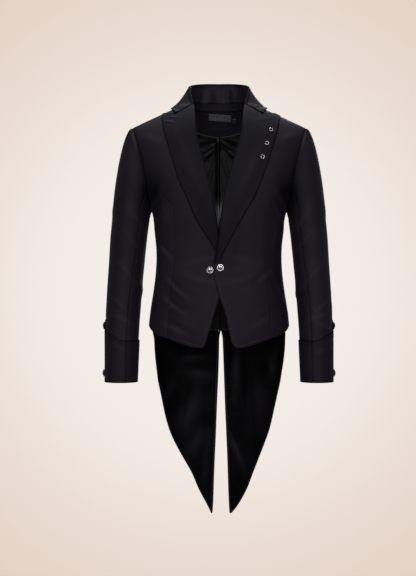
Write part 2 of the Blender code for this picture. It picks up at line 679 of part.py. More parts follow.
def lapel(side):
    """A wide peaked lapel that lies on its front and rolls over the front's edge."""
    name = f"lapel_{SIDE_NAMES[side]}"
    lowest = LAPEL_LOW[side]
    outer_heights = [lowest] + [row[0] for row in LAPEL_EDGE if row[0] > lowest + 0.005]
    heights = [lowest - LAPEL_SLANT] + [row[0] for row in FRONT_EDGE if row[0] > lowest + 0.005]
    tip = (edge_x(LAPEL_EDGE, side, outer_heights[-1]), outer_heights[-1])
    roll_top = LAPEL_TOP[0][0]
    top_points = [(roll_top, LAPEL_TOP[0][1] - SEAM)] + [(x, h - SEAM) for x, h in LAPEL_TOP[1:]] + [tip]
    roll_line = path([(edge_x(FRONT_EDGE, side, h), min(h, LAPEL_TOP[0][1] - SEAM)) for h in heights])
    edge_line = path([(edge_x(LAPEL_EDGE, side, h), h) for h in outer_heights])
    low = straight(roll_line(0.0), edge_line(0.0))
    stops = [1 - (1 - t) ** LAPEL_CROWDS for t in even(LAPEL_PARTS)]
    flat = patch(low, straight_path(top_points, TOP_STOPS), roll_line, edge_line, stops, even(LAPEL_COLUMNS))
    outer, inner = [], []
    for i, line in enumerate(flat):
        roll = smooth_step(stops[i], 0.0, ROLL_FULL_AT)
        sink = smooth_step(stops[i], LIP_SINKS_FROM, LIP_SINKS_TO)
        width = (Vector(line[0]) - Vector(line[-1])).length
        top, under = [], []
        for (inset, high, low_face), inside in zip(reversed(LAPEL_LIP), reversed(LIP_INSIDE)):
            soft = min(1.0, width / SOFT_WIDTH)
            lifted = max(high, 0.0) * (ROLL_LEAST + (1 - ROLL_LEAST) * roll) + min(high, 0.0) * sink
            lifted += LOW_END_TOP * (1 - sink)
            x, height = toward(line[0], line[-1], inset * soft)
            top.append(on_body(side, *place(x, height), lifted))
            x, height = toward(line[0], line[-1], (inset + inside) * soft)
            floor = low_face * sink + LOW_END_FLOOR * (1 - sink)
            under.append(on_body(side, *place(x, height), floor))
        for x, height in line:
            distance = (Vector((x, height)) - Vector(line[0])).length
            if distance < FACE_FROM * width:
                continue
            rise = LAPEL_CLEAR + LAPEL_PUFF * roll * exp(-(distance / PUFF_REACH) ** 2)
            top.append(on_body(side, *place(x, height), rise + LAPEL_WALL))
            under.append(on_body(side, *place(x, height), rise))
        outer.append(top)
        inner.append(under)
    columns = min(len(line) for line in outer)
    outer = [line[:4] + line[len(line) - columns + 4:] for line in outer]
    inner = [line[:4] + line[len(line) - columns + 4:] for line in inner]
    return sheet(name, outer, inner)


def toward(a, b, distance):
    """The point at a distance from a towards b."""
    way = Vector(b) - Vector(a)
    return tuple(Vector(a) + way.normalized() * min(distance, way.length * LIP_REACHES))


def straight_path(points, stops):
    """Straight runs between points, each at its share of the way."""
    def read(t):
        i = min(max(bisect_right(stops, t) - 1, 0), len(points) - 2)
        return straight(points[i], points[i + 1])((t - stops[i]) / (stops[i + 1] - stops[i]))

    return read


# Collar

def half_station(number, share):
    """Roll point, edge point and sag of the collar between its stations, on the left half."""
    i = number + share
    roll = Vector(along([row[0] for row in COLLAR], i))
    edge = Vector(along([row[1] for row in COLLAR], i))
    sag = along([(row[2],) for row in COLLAR], i)[0]
    return roll, edge, sag


def neck_seam(i):
    """Foot of the collar at a station, just above the neckline."""
    rise = Vector((0.0, 0.0, SEAM + FOOT_CLEAR))
    feet = [on_body(LEFT, *neckline(1 - n / NECK_PARTS)) + rise for n in range(NECK_PARTS + 1)]
    feet += [Vector(row) for row in FRONT_FOOT]
    low = min(int(i), len(feet) - 2)
    return feet[low].lerp(feet[low + 1], i - low)


def collar_line(i):
    """Points of the collar's section at a station: up the stand, over the fold and down the fall."""
    low = int(min(i, len(COLLAR) - 2))
    roll, edge, sag = half_station(low, i - low)
    foot = neck_seam(i)
    band = BAND_SHARE * (1 - smooth_step(i, NECK_PARTS - 1, BAND_ENDS + BAND_TAPERS))
    stand = [foot.lerp(roll, t) for t in (0.0, band / 2, band, (band + STAND_TOP) / 2, STAND_TOP)]
    out = edge - roll
    fold_out = Vector((out.x, out.y, 0.0)).normalized()
    top = roll + fold_out * FOLD_RADIUS
    over = roll + fold_out * 2 * FOLD_RADIUS + Vector((0.0, 0.0, -FOLD_RADIUS))
    fall = []
    for t in even(4):
        point = over.lerp(edge, t) - Vector((0.0, 0.0, sag * 4 * t * (1 - t)))
        if i > NECK_PARTS:
            clear = FALL_CLEAR + FALL_EASE * (1 - smooth_step(i, BAND_ENDS + 0.5, len(COLLAR) - 1))
            cloth = on_body(LEFT, *place(point.x, point.z), LAPEL_CLEAR + COLLAR_WALL / 2 + clear)
            if point.y > cloth.y:
                point = cloth
        fall.append(point)
    return stand + [roll + Vector((0.0, 0.0, -0.0005)), top + Vector((0.0, 0.0, 0.0010))] + fall


def grid_normals(grid):
    """A normal at each point of a grid, from its neighbours."""
    rows, columns = len(grid), len(grid[0])
    lines = []
    for i in range(rows):
        line = []
        for j in range(columns):
            down = grid[min(i + 1, rows - 1)][j] - grid[max(i - 1, 0)][j]
            across = grid[i][min(j + 1, columns - 1)] - grid[i][max(j - 1, 0)]
            line.append(down.cross(across).normalized())
        lines.append(line)
    return lines


def thick_grid(name, grid, wall):
    """A wall of even thickness about a grid of points."""
    normals = grid_normals(grid)
    outer = [[p + n * wall / 2 for p, n in zip(line, ns)] for line, ns in zip(grid, normals)]
    inner = [[p - n * wall / 2 for p, n in zip(line, ns)] for line, ns in zip(grid, normals)]
    return sheet(name, outer, inner)


def collar_parts():
    """The standing collar with its fall, and the band between it and the neck."""
    stops = [0.0, 1.0, 2.0, 2.5, 3.0, 3.5, 4.0, 4.5, 5.0, 5.5, 6.0, 6.5, 7.0, 7.5, 8.0]
    left = [collar_line(i) for i in stops]
    mirrored = [[Vector((-p.x, p.y, p.z)) for p in line] for line in left]
    grid = list(reversed(mirrored[1:])) + left
    kept = len([i for i in stops if i > BAND_ENDS])
    band = [line[:3] for line in grid[kept:len(grid) - kept]]
    band = [[line[0], line[1], line[2] + (line[1] - line[2]).normalized() * SEAM] for line in band]
    leaf = [line[2:] for line in grid]
    return thick_grid("collar_band", band, COLLAR_WALL), thick_grid("collar", leaf, COLLAR_WALL)


# Sleeves

def sleeve_oval(turn, height):
    """A point of the arm's tube: turn 0 is the outer side, 90 degrees the front."""
    x, y, half_width, half_depth = (look_up(SLEEVE, height, column) for column in (1, 2, 3, 4))
    return Vector((x + half_width * cos(turn), y - half_depth * sin(turn), height))


def sleeve_point(turn_at, down):
    """A point of the sleeve's outer face; down is 0 at the armhole, 1 below its head and 2 at the wrist."""
    if down >= 1.0:
        first, last = SLEEVE[0][0], SLEEVE[-1][0]
        height = first + (last - first) * (down - 1.0)
        return sleeve_oval(turn_at(height), height)
    first = SLEEVE[0][0]
    turn = turn_at(0.0)
    start = on_body(LEFT, *armhole(turn), 0.0) + Vector((SEAM + SLEEVE_CLEAR, 0.0, 0.0))
    end = sleeve_oval(turn_at(first), first)
    reach = (end - start).length
    below = (1 - cos(turn)) / 2
    leave = Vector((0.34 - 0.06 * below, -0.30 * sin(turn), -0.10 - 0.40 * below)) * reach
    arrive = Vector((0.03, 0.0, -0.85 + 0.1 * below)) * reach
    t = down
    return (start * (2 * t ** 3 - 3 * t * t + 1) + leave * (t ** 3 - 2 * t * t + t)
            + end * (3 * t * t - 2 * t ** 3) + arrive * (t ** 3 - t * t))


def seam_turn(height, part):
    """Angle of a part of the ring at a height, so that parts 8 and 16 run along the sleeve's two seams."""
    if height == 0.0:
        return ring_turn(part)
    front, back = (look_up(SLEEVE_SEAM, height, column) for column in (1, 2))
    if part <= 8:
        return radians(front * part / 8)
    if part <= 16:
        return radians(front + (back - front) * (part - 8) / 8)
    return radians(back + (360.0 - back) * (part - 16) / 8)


def sleeve_fold(side, height, turn):
    """How far the creases of a sleeve raise it."""
    total = 0.0
    for name, fold_z, fold_turn, half_turn, width, rise in SLEEVE_FOLDS:
        if name == SIDE_NAMES[side]:
            off = (degrees(turn) - fold_turn + 180.0) % 360.0 - 180.0
            total += rise * exp(-(off / half_turn) ** 2 - ((height - fold_z + off * 0.0003) / width) ** 2)
    return total


def sleeve_skin(side, part, down, out):
    """A point of a sleeve moved out along its own normal."""
    def at(p, d):
        return sleeve_point(lambda height: seam_turn(height, p), d)

    here = at(part, down)
    after = part + NORMAL_PART if part < RING_PARTS - NORMAL_PART else part
    before = part - NORMAL_PART if part > NORMAL_PART else part
    around = at(after, down) - at(before, down)
    along_arm = at(part, min(down + NORMAL_STEP, 2.0)) - at(part, max(down - NORMAL_STEP, 0.0))
    normal = around.cross(along_arm).normalized()
    height = here.z
    rise = sleeve_fold(side, height, seam_turn(height, part)) if down > 1.0 else 0.0
    point = here + normal * (out + rise)
    return Vector((side * point.x, point.y, point.z))


def down_at(height):
    """Where the tube has a height."""
    first, last = SLEEVE[0][0], SLEEVE[-1][0]
    return 1.0 + (height - first) / (last - first)


def sleeve(side, name, start, end):
    """One of the two panels of a sleeve, between parts of its ring."""
    cap = [i / CAP_RINGS for i in range(CAP_RINGS)]
    stops = cap + [1.0 + t * (down_at(SLEEVE_ENDS) - 1.0) for t in even(SLEEVE_RINGS)]
    parts = [float(start + i) for i in range(end - start + 1)]
    parts[0] += SEAM_GAP
    parts[-1] -= SEAM_GAP
    outer, inner = ([[sleeve_skin(side, part % RING_PARTS, d, out) for part in parts] for d in stops]
                    for out in (0.0, -WALL))
    return sheet(f"{name}_{SIDE_NAMES[side]}", outer, inner)


def cuff(side):
    """The deep turned cuff over the end of a sleeve, cut up to a point on its outer side."""
    def skin(out):
        lines = []
        for t in even(CUFF_RINGS):
            line = []
            for part in range(RING_PARTS):
                angle = degrees(seam_turn(CUFF_TURN_HEIGHT, part))
                top = look_up(CUFF_TOP, angle if angle <= 180.0 else angle - 360.0, 1)
                line.append(sleeve_skin(side, float(part), down_at(CUFF_ENDS + (top - CUFF_ENDS) * t), out))
            lines.append(line)
        return lines

    return sheet(f"cuff_{SIDE_NAMES[side]}", skin(CUFF_CLEAR + WALL), skin(CUFF_CLEAR), ring=True)


# Buttons and eyelets

def turned(name, profile, steps):
    """A turned piece about its own Z axis, from a closed profile of (radius, height) that runs down outside."""
    data = bpy.data.meshes.new(name)
    count = len(profile)
    closed = profile[0][0] > 0.0
    links = [(i, (i + 1) % count) for i in range(count if closed else count - 1)]
    data.from_pydata([(radius, 0.0, height) for radius, height in profile], links, [])
    piece = bpy.data.objects.new(name, data)
    screw = piece.modifiers.new("Turn", "SCREW")
    screw.axis = "Z"
    screw.steps = steps
    screw.render_steps = steps
    screw.use_merge_vertices = True
    screw.merge_threshold = 0.00001
    return piece


def button(name):
    """A domed metal button with a stepped rim and a short shank."""
    r = BUTTON_RADIUS
    profile = [(0.0, 0.0062), (r * 0.45, 0.0056), (r * 0.76, 0.0036), (r * 0.92, 0.0037), (r, 0.0026),
               (0.0030, 0.0014), (0.0026, 0.0003), (0.0, 0.0003)]
    return turned(name, profile, 16)


def eyelet(name):
    """A pressed metal ring, with a barrel that goes through the lapel."""
    profile = [(EYELET_RIM - 0.0016, 0.0012), (EYELET_RIM, 0.0003), (EYELET_HOLE + 0.0007, 0.0003),
               (EYELET_HOLE + 0.0006, -0.0019), (EYELET_HOLE, -0.0019), (EYELET_HOLE, 0.0006)]
    return turned(name, profile, 16)


def stand_on(piece, point, normal):
    """Places a turned piece on a point, with its axis along a normal."""
    piece.location = point
    piece.rotation_euler = normal.to_track_quat("Z", "Y").to_euler()
    return piece


def front_normal(side, x, height):
    """Normal of a front at a place."""
    normal = body_normal(*place(x, height))
    return Vector((side * normal.x, normal.y, normal.z))


def hard_parts():
    """Buttons and eyelets, each on its cloth."""
    pieces = []
    for name, x, height in FRONT_BUTTONS:
        side = LEFT if name == "left" else RIGHT
        point = on_body(side, *place(x, height), SEAM + 0.0003)
        pieces.append(stand_on(button(f"front_button_{name}"), point, front_normal(side, x, height)))
    for side in (LEFT, RIGHT):
        for name, angle, height in CUFF_BUTTONS:
            part = RING_PARTS + angle * 8 / (360.0 - look_up(SLEEVE_SEAM, height, 2))
            point = sleeve_skin(side, part, down_at(height), CUFF_CLEAR + WALL + 0.0006)
            inside = sleeve_skin(side, part, down_at(height), -0.01)
            piece = button(f"cuff_button_{name}_{SIDE_NAMES[side]}")
            pieces.append(stand_on(piece, point, (point - inside).normalized()))
    for number, (x, height) in enumerate(EYELETS, 1):
        point = on_body(LEFT, *place(x, height), LAPEL_CLEAR + LAPEL_WALL + 0.0003)
        pieces.append(stand_on(eyelet(f"eyelet_{number}"), point, front_normal(LEFT, x, height)))
    return pieces


def cut_eyelet_holes(piece, cutters):
    """Cuts the three holes of the eyelets through the left lapel."""
    for number, (x, height) in enumerate(EYELETS, 1):
        bpy.ops.mesh.primitive_cylinder_add(vertices=16, radius=EYELET_HOLE + 0.0012, depth=0.012)
        cutter = bpy.context.object
        cutter.name = f"eyelet_cutter_{number}"
        point = on_body(LEFT, *place(x, height), LAPEL_CLEAR + LAPEL_WALL / 2)
        stand_on(cutter, point, front_normal(LEFT, x, height))
        cutter.hide_render = True
        cutter.display_type = "WIRE"
        for holder in list(cutter.users_collection):
            holder.objects.unlink(cutter)
        cutters.objects.link(cutter)
        cut = piece.modifiers.new(f"Eyelet {number}", "BOOLEAN")
        cut.operation = "DIFFERENCE"
        cut.solver = "EXACT"
        cut.object = cutter


def build():
    """Makes every piece of the coat."""
    clear_scene()
    coat = bpy.data.collections.new("tailcoat")
    cutters = bpy.data.collections.new("cutters")
    bpy.context.scene.collection.children.link(coat)
    bpy.context.scene.collection.children.link(cutters)
    cloth = new_material("black_twill", (0.012, 0.011, 0.014), 0.62)
    satin = new_material("black_satin", (0.008, 0.008, 0.010), 0.38)
    grey = new_material("grey_label", (0.16, 0.16, 0.17), 0.60)
    silver = new_material("silver_metal", (0.62, 0.62, 0.64), 0.28, 1.0)
    pieces = []
    for side in (LEFT, RIGHT):
        made = [front_panel(side), side_panel(side), back_panel(side), tail(side), lapel(side),
                sleeve(side, "top_sleeve", 16, 32), sleeve(side, "under_sleeve", 8, 16), cuff(side)]
        if side == LEFT:
            cut_eyelet_holes(made[4], cutters)
        pieces += [(piece, cloth) for piece in made]
        pieces.append((tail_lining(side), satin))
    pieces += [(piece, cloth) for piece in collar_parts()]
    pieces.append((neck_facing(), cloth))
    pieces.append((back_lining(), satin))
    label_out = -WALL - LINING_CLEAR - LINING_WALL - LABEL_CLEAR
    pieces.append((back_patch("label", LABEL_CENTRE, LABEL_SIZE, LABEL_TURN, label_out), grey))
    pieces.append((back_patch("size_tab", TAB_CENTRE, TAB_SIZE, LABEL_TURN, label_out), satin))
    pieces += [(piece, silver) for piece in hard_parts()]
    for piece, material in pieces:
        coat.objects.link(piece)
        piece.data.materials.append(material)
        piece.data.shade_smooth()
        piece.data.set_sharp_from_angle(angle=radians(50.0))


build()
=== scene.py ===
"""The looks of a black tailcoat: twill, satin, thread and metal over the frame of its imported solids.

Sizes are in metres. +X is the wearer's left, the coat faces -Y and +Z is up. Each piece of cloth is a thin shell:
a coarse grid of points is worked out from the coat's sections, refined by a smooth curve, and lifted by its creases.
A place on the body is its angle round the body and its row of the body's sections.
"""
from __future__ import annotations

import logging
import sys
from bisect import bisect_right
from dataclasses import dataclass
from enum import Enum
from math import asin, copysign, cos, degrees, pi, radians, sin
from typing import Callable, Iterable, Sequence

import bmesh
import bpy
import numpy as np
from mathutils import Matrix, Vector

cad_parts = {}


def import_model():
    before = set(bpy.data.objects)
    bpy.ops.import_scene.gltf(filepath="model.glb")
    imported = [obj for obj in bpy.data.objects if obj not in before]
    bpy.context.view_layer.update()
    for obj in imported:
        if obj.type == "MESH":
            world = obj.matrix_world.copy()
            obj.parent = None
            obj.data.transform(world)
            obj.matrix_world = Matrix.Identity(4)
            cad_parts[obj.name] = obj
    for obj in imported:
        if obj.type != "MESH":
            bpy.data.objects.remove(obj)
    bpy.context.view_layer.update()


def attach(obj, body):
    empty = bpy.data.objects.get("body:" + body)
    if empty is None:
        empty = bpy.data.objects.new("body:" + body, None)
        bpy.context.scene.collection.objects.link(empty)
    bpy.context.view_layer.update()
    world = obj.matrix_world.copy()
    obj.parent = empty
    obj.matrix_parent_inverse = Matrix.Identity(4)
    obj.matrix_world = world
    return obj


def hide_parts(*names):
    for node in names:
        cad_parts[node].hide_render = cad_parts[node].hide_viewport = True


LOG = logging.getLogger("tailcoat")
BODY_NAME = "root"

WALL = 0.0018
LINING_WALL = 0.0010
SEAM = 0.0003
LAPEL_CLEAR = 0.0016
LINING_CLEAR = 0.0020
TAIL_LINING_CLEAR = 0.0012
LABEL_CLEAR = 0.0010
MILLIMETRE = 0.001
LEAST_CUT = 0.0101  # the smallest width or length that a sheet is stated with
MOST_FILLED = 0.999  # the greatest share of its width by its length that a sheet's area may have

Place = tuple[float, float]
Path = Callable[[float], Place]
Numbers = np.ndarray | float
Line = tuple[np.ndarray, np.ndarray]  # points and their normals


class Side(Enum):
    """The wearer's side a piece belongs to; its value is the sign of X."""

    LEFT = 1
    RIGHT = -1

    @property
    def word(self) -> str:
        """The side's name in a piece's name."""
        return self.name.lower()

    @property
    def column(self) -> int:
        """The side's column in an outline table."""
        return 1 if self is Side.LEFT else 2

    def pick(self, pair: Sequence[float]) -> float:
        """Picks this side's value from a pair of left and right."""
        return pair[self.column - 1]

    def mirror(self, point: Vector) -> Vector:
        """Takes a point or a direction from the wearer's left to this side."""
        return Vector((self.value * point.x, point.y, point.z))


class Border(Enum):
    """A border of a grid of cloth: its first or last line, or its first or last column."""

    FIRST_LINE = "first line"
    LAST_LINE = "last line"
    FIRST_COLUMN = "first column"
    LAST_COLUMN = "last column"


class Hold(Enum):
    DRAPED = "draped"
    HUNG = "hung"
    FOLDED = "folded"


class Slot(Enum):
    """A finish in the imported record."""

    TWILL = "black_twill"
    SATIN = "black_satin"
    LABEL = "grey_label"
    METAL = "silver_metal"


# Curves and tables

def catmull(before: Numbers, start: Numbers, end: Numbers, after: Numbers, t: Numbers) -> Numbers:
    """Reads a smooth curve between two values.

    Args:
        before: The value before the start.
        start: The value at t = 0.
        end: The value at t = 1.
        after: The value after the end.
        t: Share of the way.

    Returns:
        The value at t.
    """
    return 0.5 * (2 * start + (end - before) * t + (2 * before - 5 * start + 4 * end - after) * t * t
                  + (3 * start - before - 3 * end + after) * t ** 3)


def along(points: Sequence[Sequence[float]], t: float) -> tuple[float, ...]:
    """Reads the smooth curve through points.

    Args:
        points: Tuples of equal length.
        t: Place on the curve, counted in points.

    Returns:
        The tuple at t.
    """
    last = len(points) - 1
    i = min(max(int(t), 0), last - 1)
    start, end = points[i], points[i + 1]
    before = points[i - 1] if i > 0 else tuple(2 * a - b for a, b in zip(start, end))
    after = points[i + 2] if i + 2 <= last else tuple(2 * b - a for a, b in zip(start, end))
    return tuple(catmull(*four, t - i) for four in zip(before, start, end, after))


def look_up(table: Sequence[Sequence[float]], value: float, column: int) -> float:
    """Reads a column of a table between its rows.

    Args:
        table: Rows whose first value is the key, in rising or falling order.
        value: The key.
        column: The column to read.

    Returns:
        The column's value, held at its ends outside the table.
    """
    rows = table if table[0][0] < table[-1][0] else table[::-1]
    keys = [row[0] for row in rows]
    i = min(max(bisect_right(keys, value) - 1, 0), len(rows) - 2)
    share = min(max((value - keys[i]) / (keys[i + 1] - keys[i]), 0.0), 1.0)
    return along([(row[column],) for row in rows], i + share)[0]


def fade(values: Numbers, low: float, high: float) -> Numbers:
    """Gives 0 below low, 1 above high and an even change between them."""
    t = np.minimum(np.maximum((values - low) / (high - low), 0.0), 1.0)
    return t * t * (3 - 2 * t)


def bell(off: Numbers, width: float) -> Numbers:
    """Gives 1 at no distance, and less the further off, over a width."""
    return np.exp(-(off / width) ** 2)


def even(parts: int) -> list[float]:
    """Gives even shares from 0 to 1."""
    return [i / parts for i in range(parts + 1)]


def between(a: Place, b: Place, share: float) -> Place:
    """Gives the place at a share of the way from a to b."""
    return tuple(p + (q - p) * share for p, q in zip(a, b))


def straight(a: Place, b: Place) -> Path:
    """Makes the straight path between two places."""
    return lambda t: between(a, b, t)


def path(points: Sequence[Place], stops: Sequence[float] | None = None, smooth: bool = True) -> Path:
    """Makes a path through places.

    Args:
        points: The places.
        stops: Each place's share of the way; left out, it follows their distances.
        smooth: Whether the path curves through the places or runs straight between them.

    Returns:
        A function from a share of the way to a place.
    """
    if stops is None:
        lengths = [0.0]
        for a, b in zip(points, points[1:]):
            lengths.append(lengths[-1] + ((a[0] - b[0]) ** 2 + (a[1] - b[1]) ** 2) ** 0.5 + 1e-9)
        stops = [length / lengths[-1] for length in lengths]

    def read(t: float) -> Place:
        """Reads the path at a share of the way."""
        i = min(max(bisect_right(stops, t) - 1, 0), len(points) - 2)
        share = (t - stops[i]) / (stops[i + 1] - stops[i])
        return along(points, i + share) if smooth else between(points[i], points[i + 1], share)

    return read


def joined(first: Path, second: Path, stop: float) -> Path:
    """Puts two paths that meet at a share of the way one after the other."""
    return lambda t: first(t / stop) if t <= stop else second((t - stop) / (1 - stop))


def patch(low: Path, high: Path, near: Path, far: Path, ups: Iterable[float],
          acrosses: Sequence[float]) -> list[list[Place]]:
    """Fills the space inside four border paths.

    Args:
        low: The lower border, from near to far.
        high: The upper border, from near to far.
        near: The near border, from low to high.
        far: The far border, from low to high.
        ups: Shares of the way up.
        acrosses: Shares of the way across.

    Returns:
        A line of places for each share of the way up.
    """
    corners = near(0.0), far(0.0), near(1.0), far(1.0)
    lows, highs = [low(s) for s in acrosses], [high(s) for s in acrosses]
    grid = []
    for t in ups:
        a, b = near(t), far(t)
        grid.append([tuple((1 - t) * below[k] + t * above[k] + (1 - s) * a[k] + s * b[k]
                           - (1 - t) * ((1 - s) * corners[0][k] + s * corners[1][k])
                           - t * ((1 - s) * corners[2][k] + s * corners[3][k]) for k in (0, 1))
                     for s, below, above in zip(acrosses, lows, highs)])
    return grid


# Form of the coat

@dataclass(frozen=True)
class Fold:
    """One soft fold or crease of cloth, in the plane of X and Z.

    A fold runs along its turn, rises as a bell across its width and fades towards its ends. A bend curves it, and a
    trough beside it gives it a sharper side.
    """

    x: float
    height: float
    turn: float
    length: float
    width: float
    rise: float
    bend: float = 0.0
    trough: float = 0.0

    def lift(self, x: Numbers, height: Numbers) -> Numbers:
        """Gives how far the fold lifts the cloth at a place."""
        ahead, up = cos(radians(self.turn)), sin(radians(self.turn))
        dx, dz = x - self.x, height - self.height
        run = dx * ahead + dz * up
        off = dz * ahead - dx * up - self.bend * run * run
        return self.rise * bell(run, self.length) * (
            bell(off, self.width) - self.trough * bell(off - 1.5 * self.width, self.width))

    @classmethod
    def table(cls, *rows: tuple[float, ...]) -> tuple[Fold, ...]:
        """Reads folds from rows of x, height, turn, length, width, rise, bend and trough, lengths in millimetres."""
        return tuple(cls(x * MILLIMETRE, height * MILLIMETRE, turn, *(size * MILLIMETRE for size in sizes), *shape)
                     for x, height, turn, *sizes, shape in ((*row[:6], row[6:]) for row in rows))


@dataclass(frozen=True)
class BodyForm:
    """The body of the coat: an oval at each height, with a ridge along the shoulders."""

    sections: tuple = (  # height, half_width, front, back, lift
        (-1.080, 0.188, 0.118, 0.122, 0.0), (-0.960, 0.187, 0.118, 0.123, 0.0), (-0.850, 0.186, 0.118, 0.124, 0.0),
        (-0.750, 0.185, 0.118, 0.124, 0.0), (-0.670, 0.184, 0.118, 0.123, 0.0), (-0.610, 0.1825, 0.118, 0.121, 0.0),
        (-0.560, 0.1810, 0.116, 0.118, 0.0), (-0.510, 0.1755, 0.111, 0.113, 0.0), (-0.455, 0.1670, 0.106, 0.105, 0.0),
        (-0.400, 0.1612, 0.103, 0.099, 0.0), (-0.350, 0.1615, 0.107, 0.100, 0.0), (-0.305, 0.1655, 0.113, 0.107, 0.0),
        (-0.262, 0.1725, 0.117, 0.114, 0.0), (-0.215, 0.1920, 0.118, 0.119, 0.1), (-0.160, 0.2060, 0.111, 0.120, 0.25),
        (-0.110, 0.2150, 0.095, 0.112, 0.5), (-0.080, 0.2190, 0.074, 0.093, 0.75), (-0.058, 0.2210, 0.045, 0.060, 0.93),
        (-0.045, 0.2220, 0.000, 0.000, 1.0))
    square: float = 0.87
    middle_y: float = 0.005
    shoulder_tip: float = 0.222
    shoulder_slope: float = 0.46
    neck_half: float = 0.080
    tip_turn: float = radians(6.0)
    tip_normal: float = radians(30.0)
    ridge_rows: float = 0.1
    lap: tuple = (  # height, left, right
        (-0.62, 0.0006, -0.0006), (-0.52, 0.0010, -0.0010), (-0.47, 0.0022, -0.0012), (-0.40, 0.0040, -0.0012),
        (-0.365, 0.0072, -0.0014), (-0.33, 0.0072, -0.0014), (-0.30, 0.0052, -0.0010), (-0.25, 0.0012, 0.0),
        (-0.20, 0.0, 0.0))
    lap_reach: tuple[float, float] = (0.012, 0.060)
    front_folds: tuple[Fold, ...] = Fold.table(
        (-108, -455, -45, 45, 11, 2.2), (-118, -500, -42, 45, 12, 2), (-96, -545, -25, 45, 12, 1.4),
        (-70, -430, -20, 60, 18, 1.6), (75, -425, 18, 60, 18, 1.6), (-150, -300, 62, 50, 12, 1.8),
        (150, -300, -62, 50, 12, 1.8), (110, -520, 55, 50, 14, 1.4))
    back_folds: tuple[Fold, ...] = Fold.table(
        (-80, -390, 25, 60, 24, 2.6), (80, -400, -22, 60, 24, 2.4), (-120, -210, 65, 55, 22, 2.2),
        (120, -205, -65, 55, 22, 2.2), (-105, -720, 80, 120, 16, 4), (-50, -800, 92, 130, 15, -3),
        (112, -740, 97, 120, 18, 4), (60, -830, 85, 130, 15, -3))

    @property
    def top(self) -> int:
        """The number of the row on the shoulder ridge."""
        return len(self.sections) - 1

    def sizes(self, row: float) -> tuple[float, ...]:
        """Gives height, half width, depths and lift at a row; past the ridge the depths turn over."""
        if row <= self.top - 1:
            return along(self.sections, row)
        below, last = self.sections[self.top - 2:self.top], self.sections[self.top]
        over = (below[1][0], below[1][1], -below[1][2], -below[1][3], below[1][4])
        return tuple(catmull(*four, row - (self.top - 1)) for four in zip(below[0], below[1], last, over))

    def rise(self, x: float) -> float:
        """Gives how far the shoulder ridge stands above the shoulder's tip."""
        x = abs(x)
        if x > self.neck_half:
            return self.shoulder_slope * (self.shoulder_tip - x)
        bend = self.shoulder_slope / (2 * self.neck_half)
        return self.shoulder_slope * (self.shoulder_tip - self.neck_half) + bend * (self.neck_half ** 2 - x * x)

    def ridge(self, x: float) -> float:
        """Gives the height of the shoulder ridge."""
        return self.sections[-1][0] + self.rise(x)

    def point(self, angle: float, row: float) -> Vector:
        """Gives a point of the plain body; angle 0 is the centre front, 90 degrees the left side."""
        height, half_width, front, back, lift = self.sizes(row)
        across, ahead = sin(angle), cos(angle)
        x = copysign(half_width * abs(across) ** self.square, across)
        depth = front if ahead > 0 else back
        y = self.middle_y - copysign(depth * abs(ahead) ** self.square, ahead)
        return Vector((x, y, height + lift * self.rise(x)))

    def normal(self, angle: float, row: float) -> Vector:
        """Gives the direction out of the body; at the shoulder's tip it is taken a little beside the point."""
        d_angle, d_row = radians(1.0), 0.04
        if row > self.top - self.ridge_rows and abs(angle - pi / 2) < self.tip_normal:
            angle = pi / 2 + copysign(self.tip_normal, angle - pi / 2)
        around = self.point(angle + d_angle, row) - self.point(angle - d_angle, row)
        up = self.point(angle, row + d_row) - self.point(angle, max(row - d_row, 0.0))
        return around.cross(up).normalized()

    def lap_height(self, point: Vector, side: Side) -> float:
        """Gives how far a front is moved out where the left one laps over the right one."""
        if point.y > 0.0:
            return 0.0
        near = 1.0 - fade(point.x, *self.lap_reach)
        return near * look_up(self.lap, min(point.z, self.lap[-1][0]), side.column)

    def on(self, side: Side, angle: float, row: float, out: float = 0.0) -> Vector:
        """Gives a point of the worn cloth.

        Args:
            side: The wearer's side; the right one is the mirror of the left.
            angle: Angle round the body, from the centre front.
            row: Row of the body's sections.
            out: Distance out from the cloth's outer face.

        Returns:
            The point.
        """
        point = self.point(angle, row)
        folds = self.front_folds if point.y < self.middle_y else self.back_folds
        lift = sum(float(fold.lift(side.value * point.x, point.z)) for fold in folds)
        return side.mirror(point + self.normal(angle, row) * (out + lift + self.lap_height(point, side)))

    def row_at(self, x: float, height: float) -> float:
        """Finds the row at which the body has a height, at a distance from the middle."""
        low, high, rise = 0.0, float(self.top), self.rise(x)
        for _ in range(26):
            middle = (low + high) / 2
            sizes = self.sizes(middle)
            if sizes[0] + sizes[4] * rise < height:
                low = middle
            else:
                high = middle
        return (low + high) / 2

    def place(self, x: float, height: float, back: bool = False) -> Place:
        """Finds the angle and row of a point from its distance from the middle and its height."""
        row = self.row_at(x, height)
        share = min(abs(x) / self.sizes(row)[1], 1.0) ** (1 / self.square)
        angle = copysign(asin(share), x)
        return (pi - angle if back else angle, row)

    def edge_place(self, angle: float, height: float) -> Place:
        """Finds the place at an angle and a height beside the shoulder's tip."""
        return (angle, self.row_at(self.shoulder_tip, height))


FORM = BodyForm()


# Shells of cloth

def add_object(name: str, data: bpy.types.ID) -> bpy.types.Object:
    """Puts a new object with its data into the scene."""
    item = bpy.data.objects.new(name, data)
    bpy.context.scene.collection.objects.link(item)
    return item


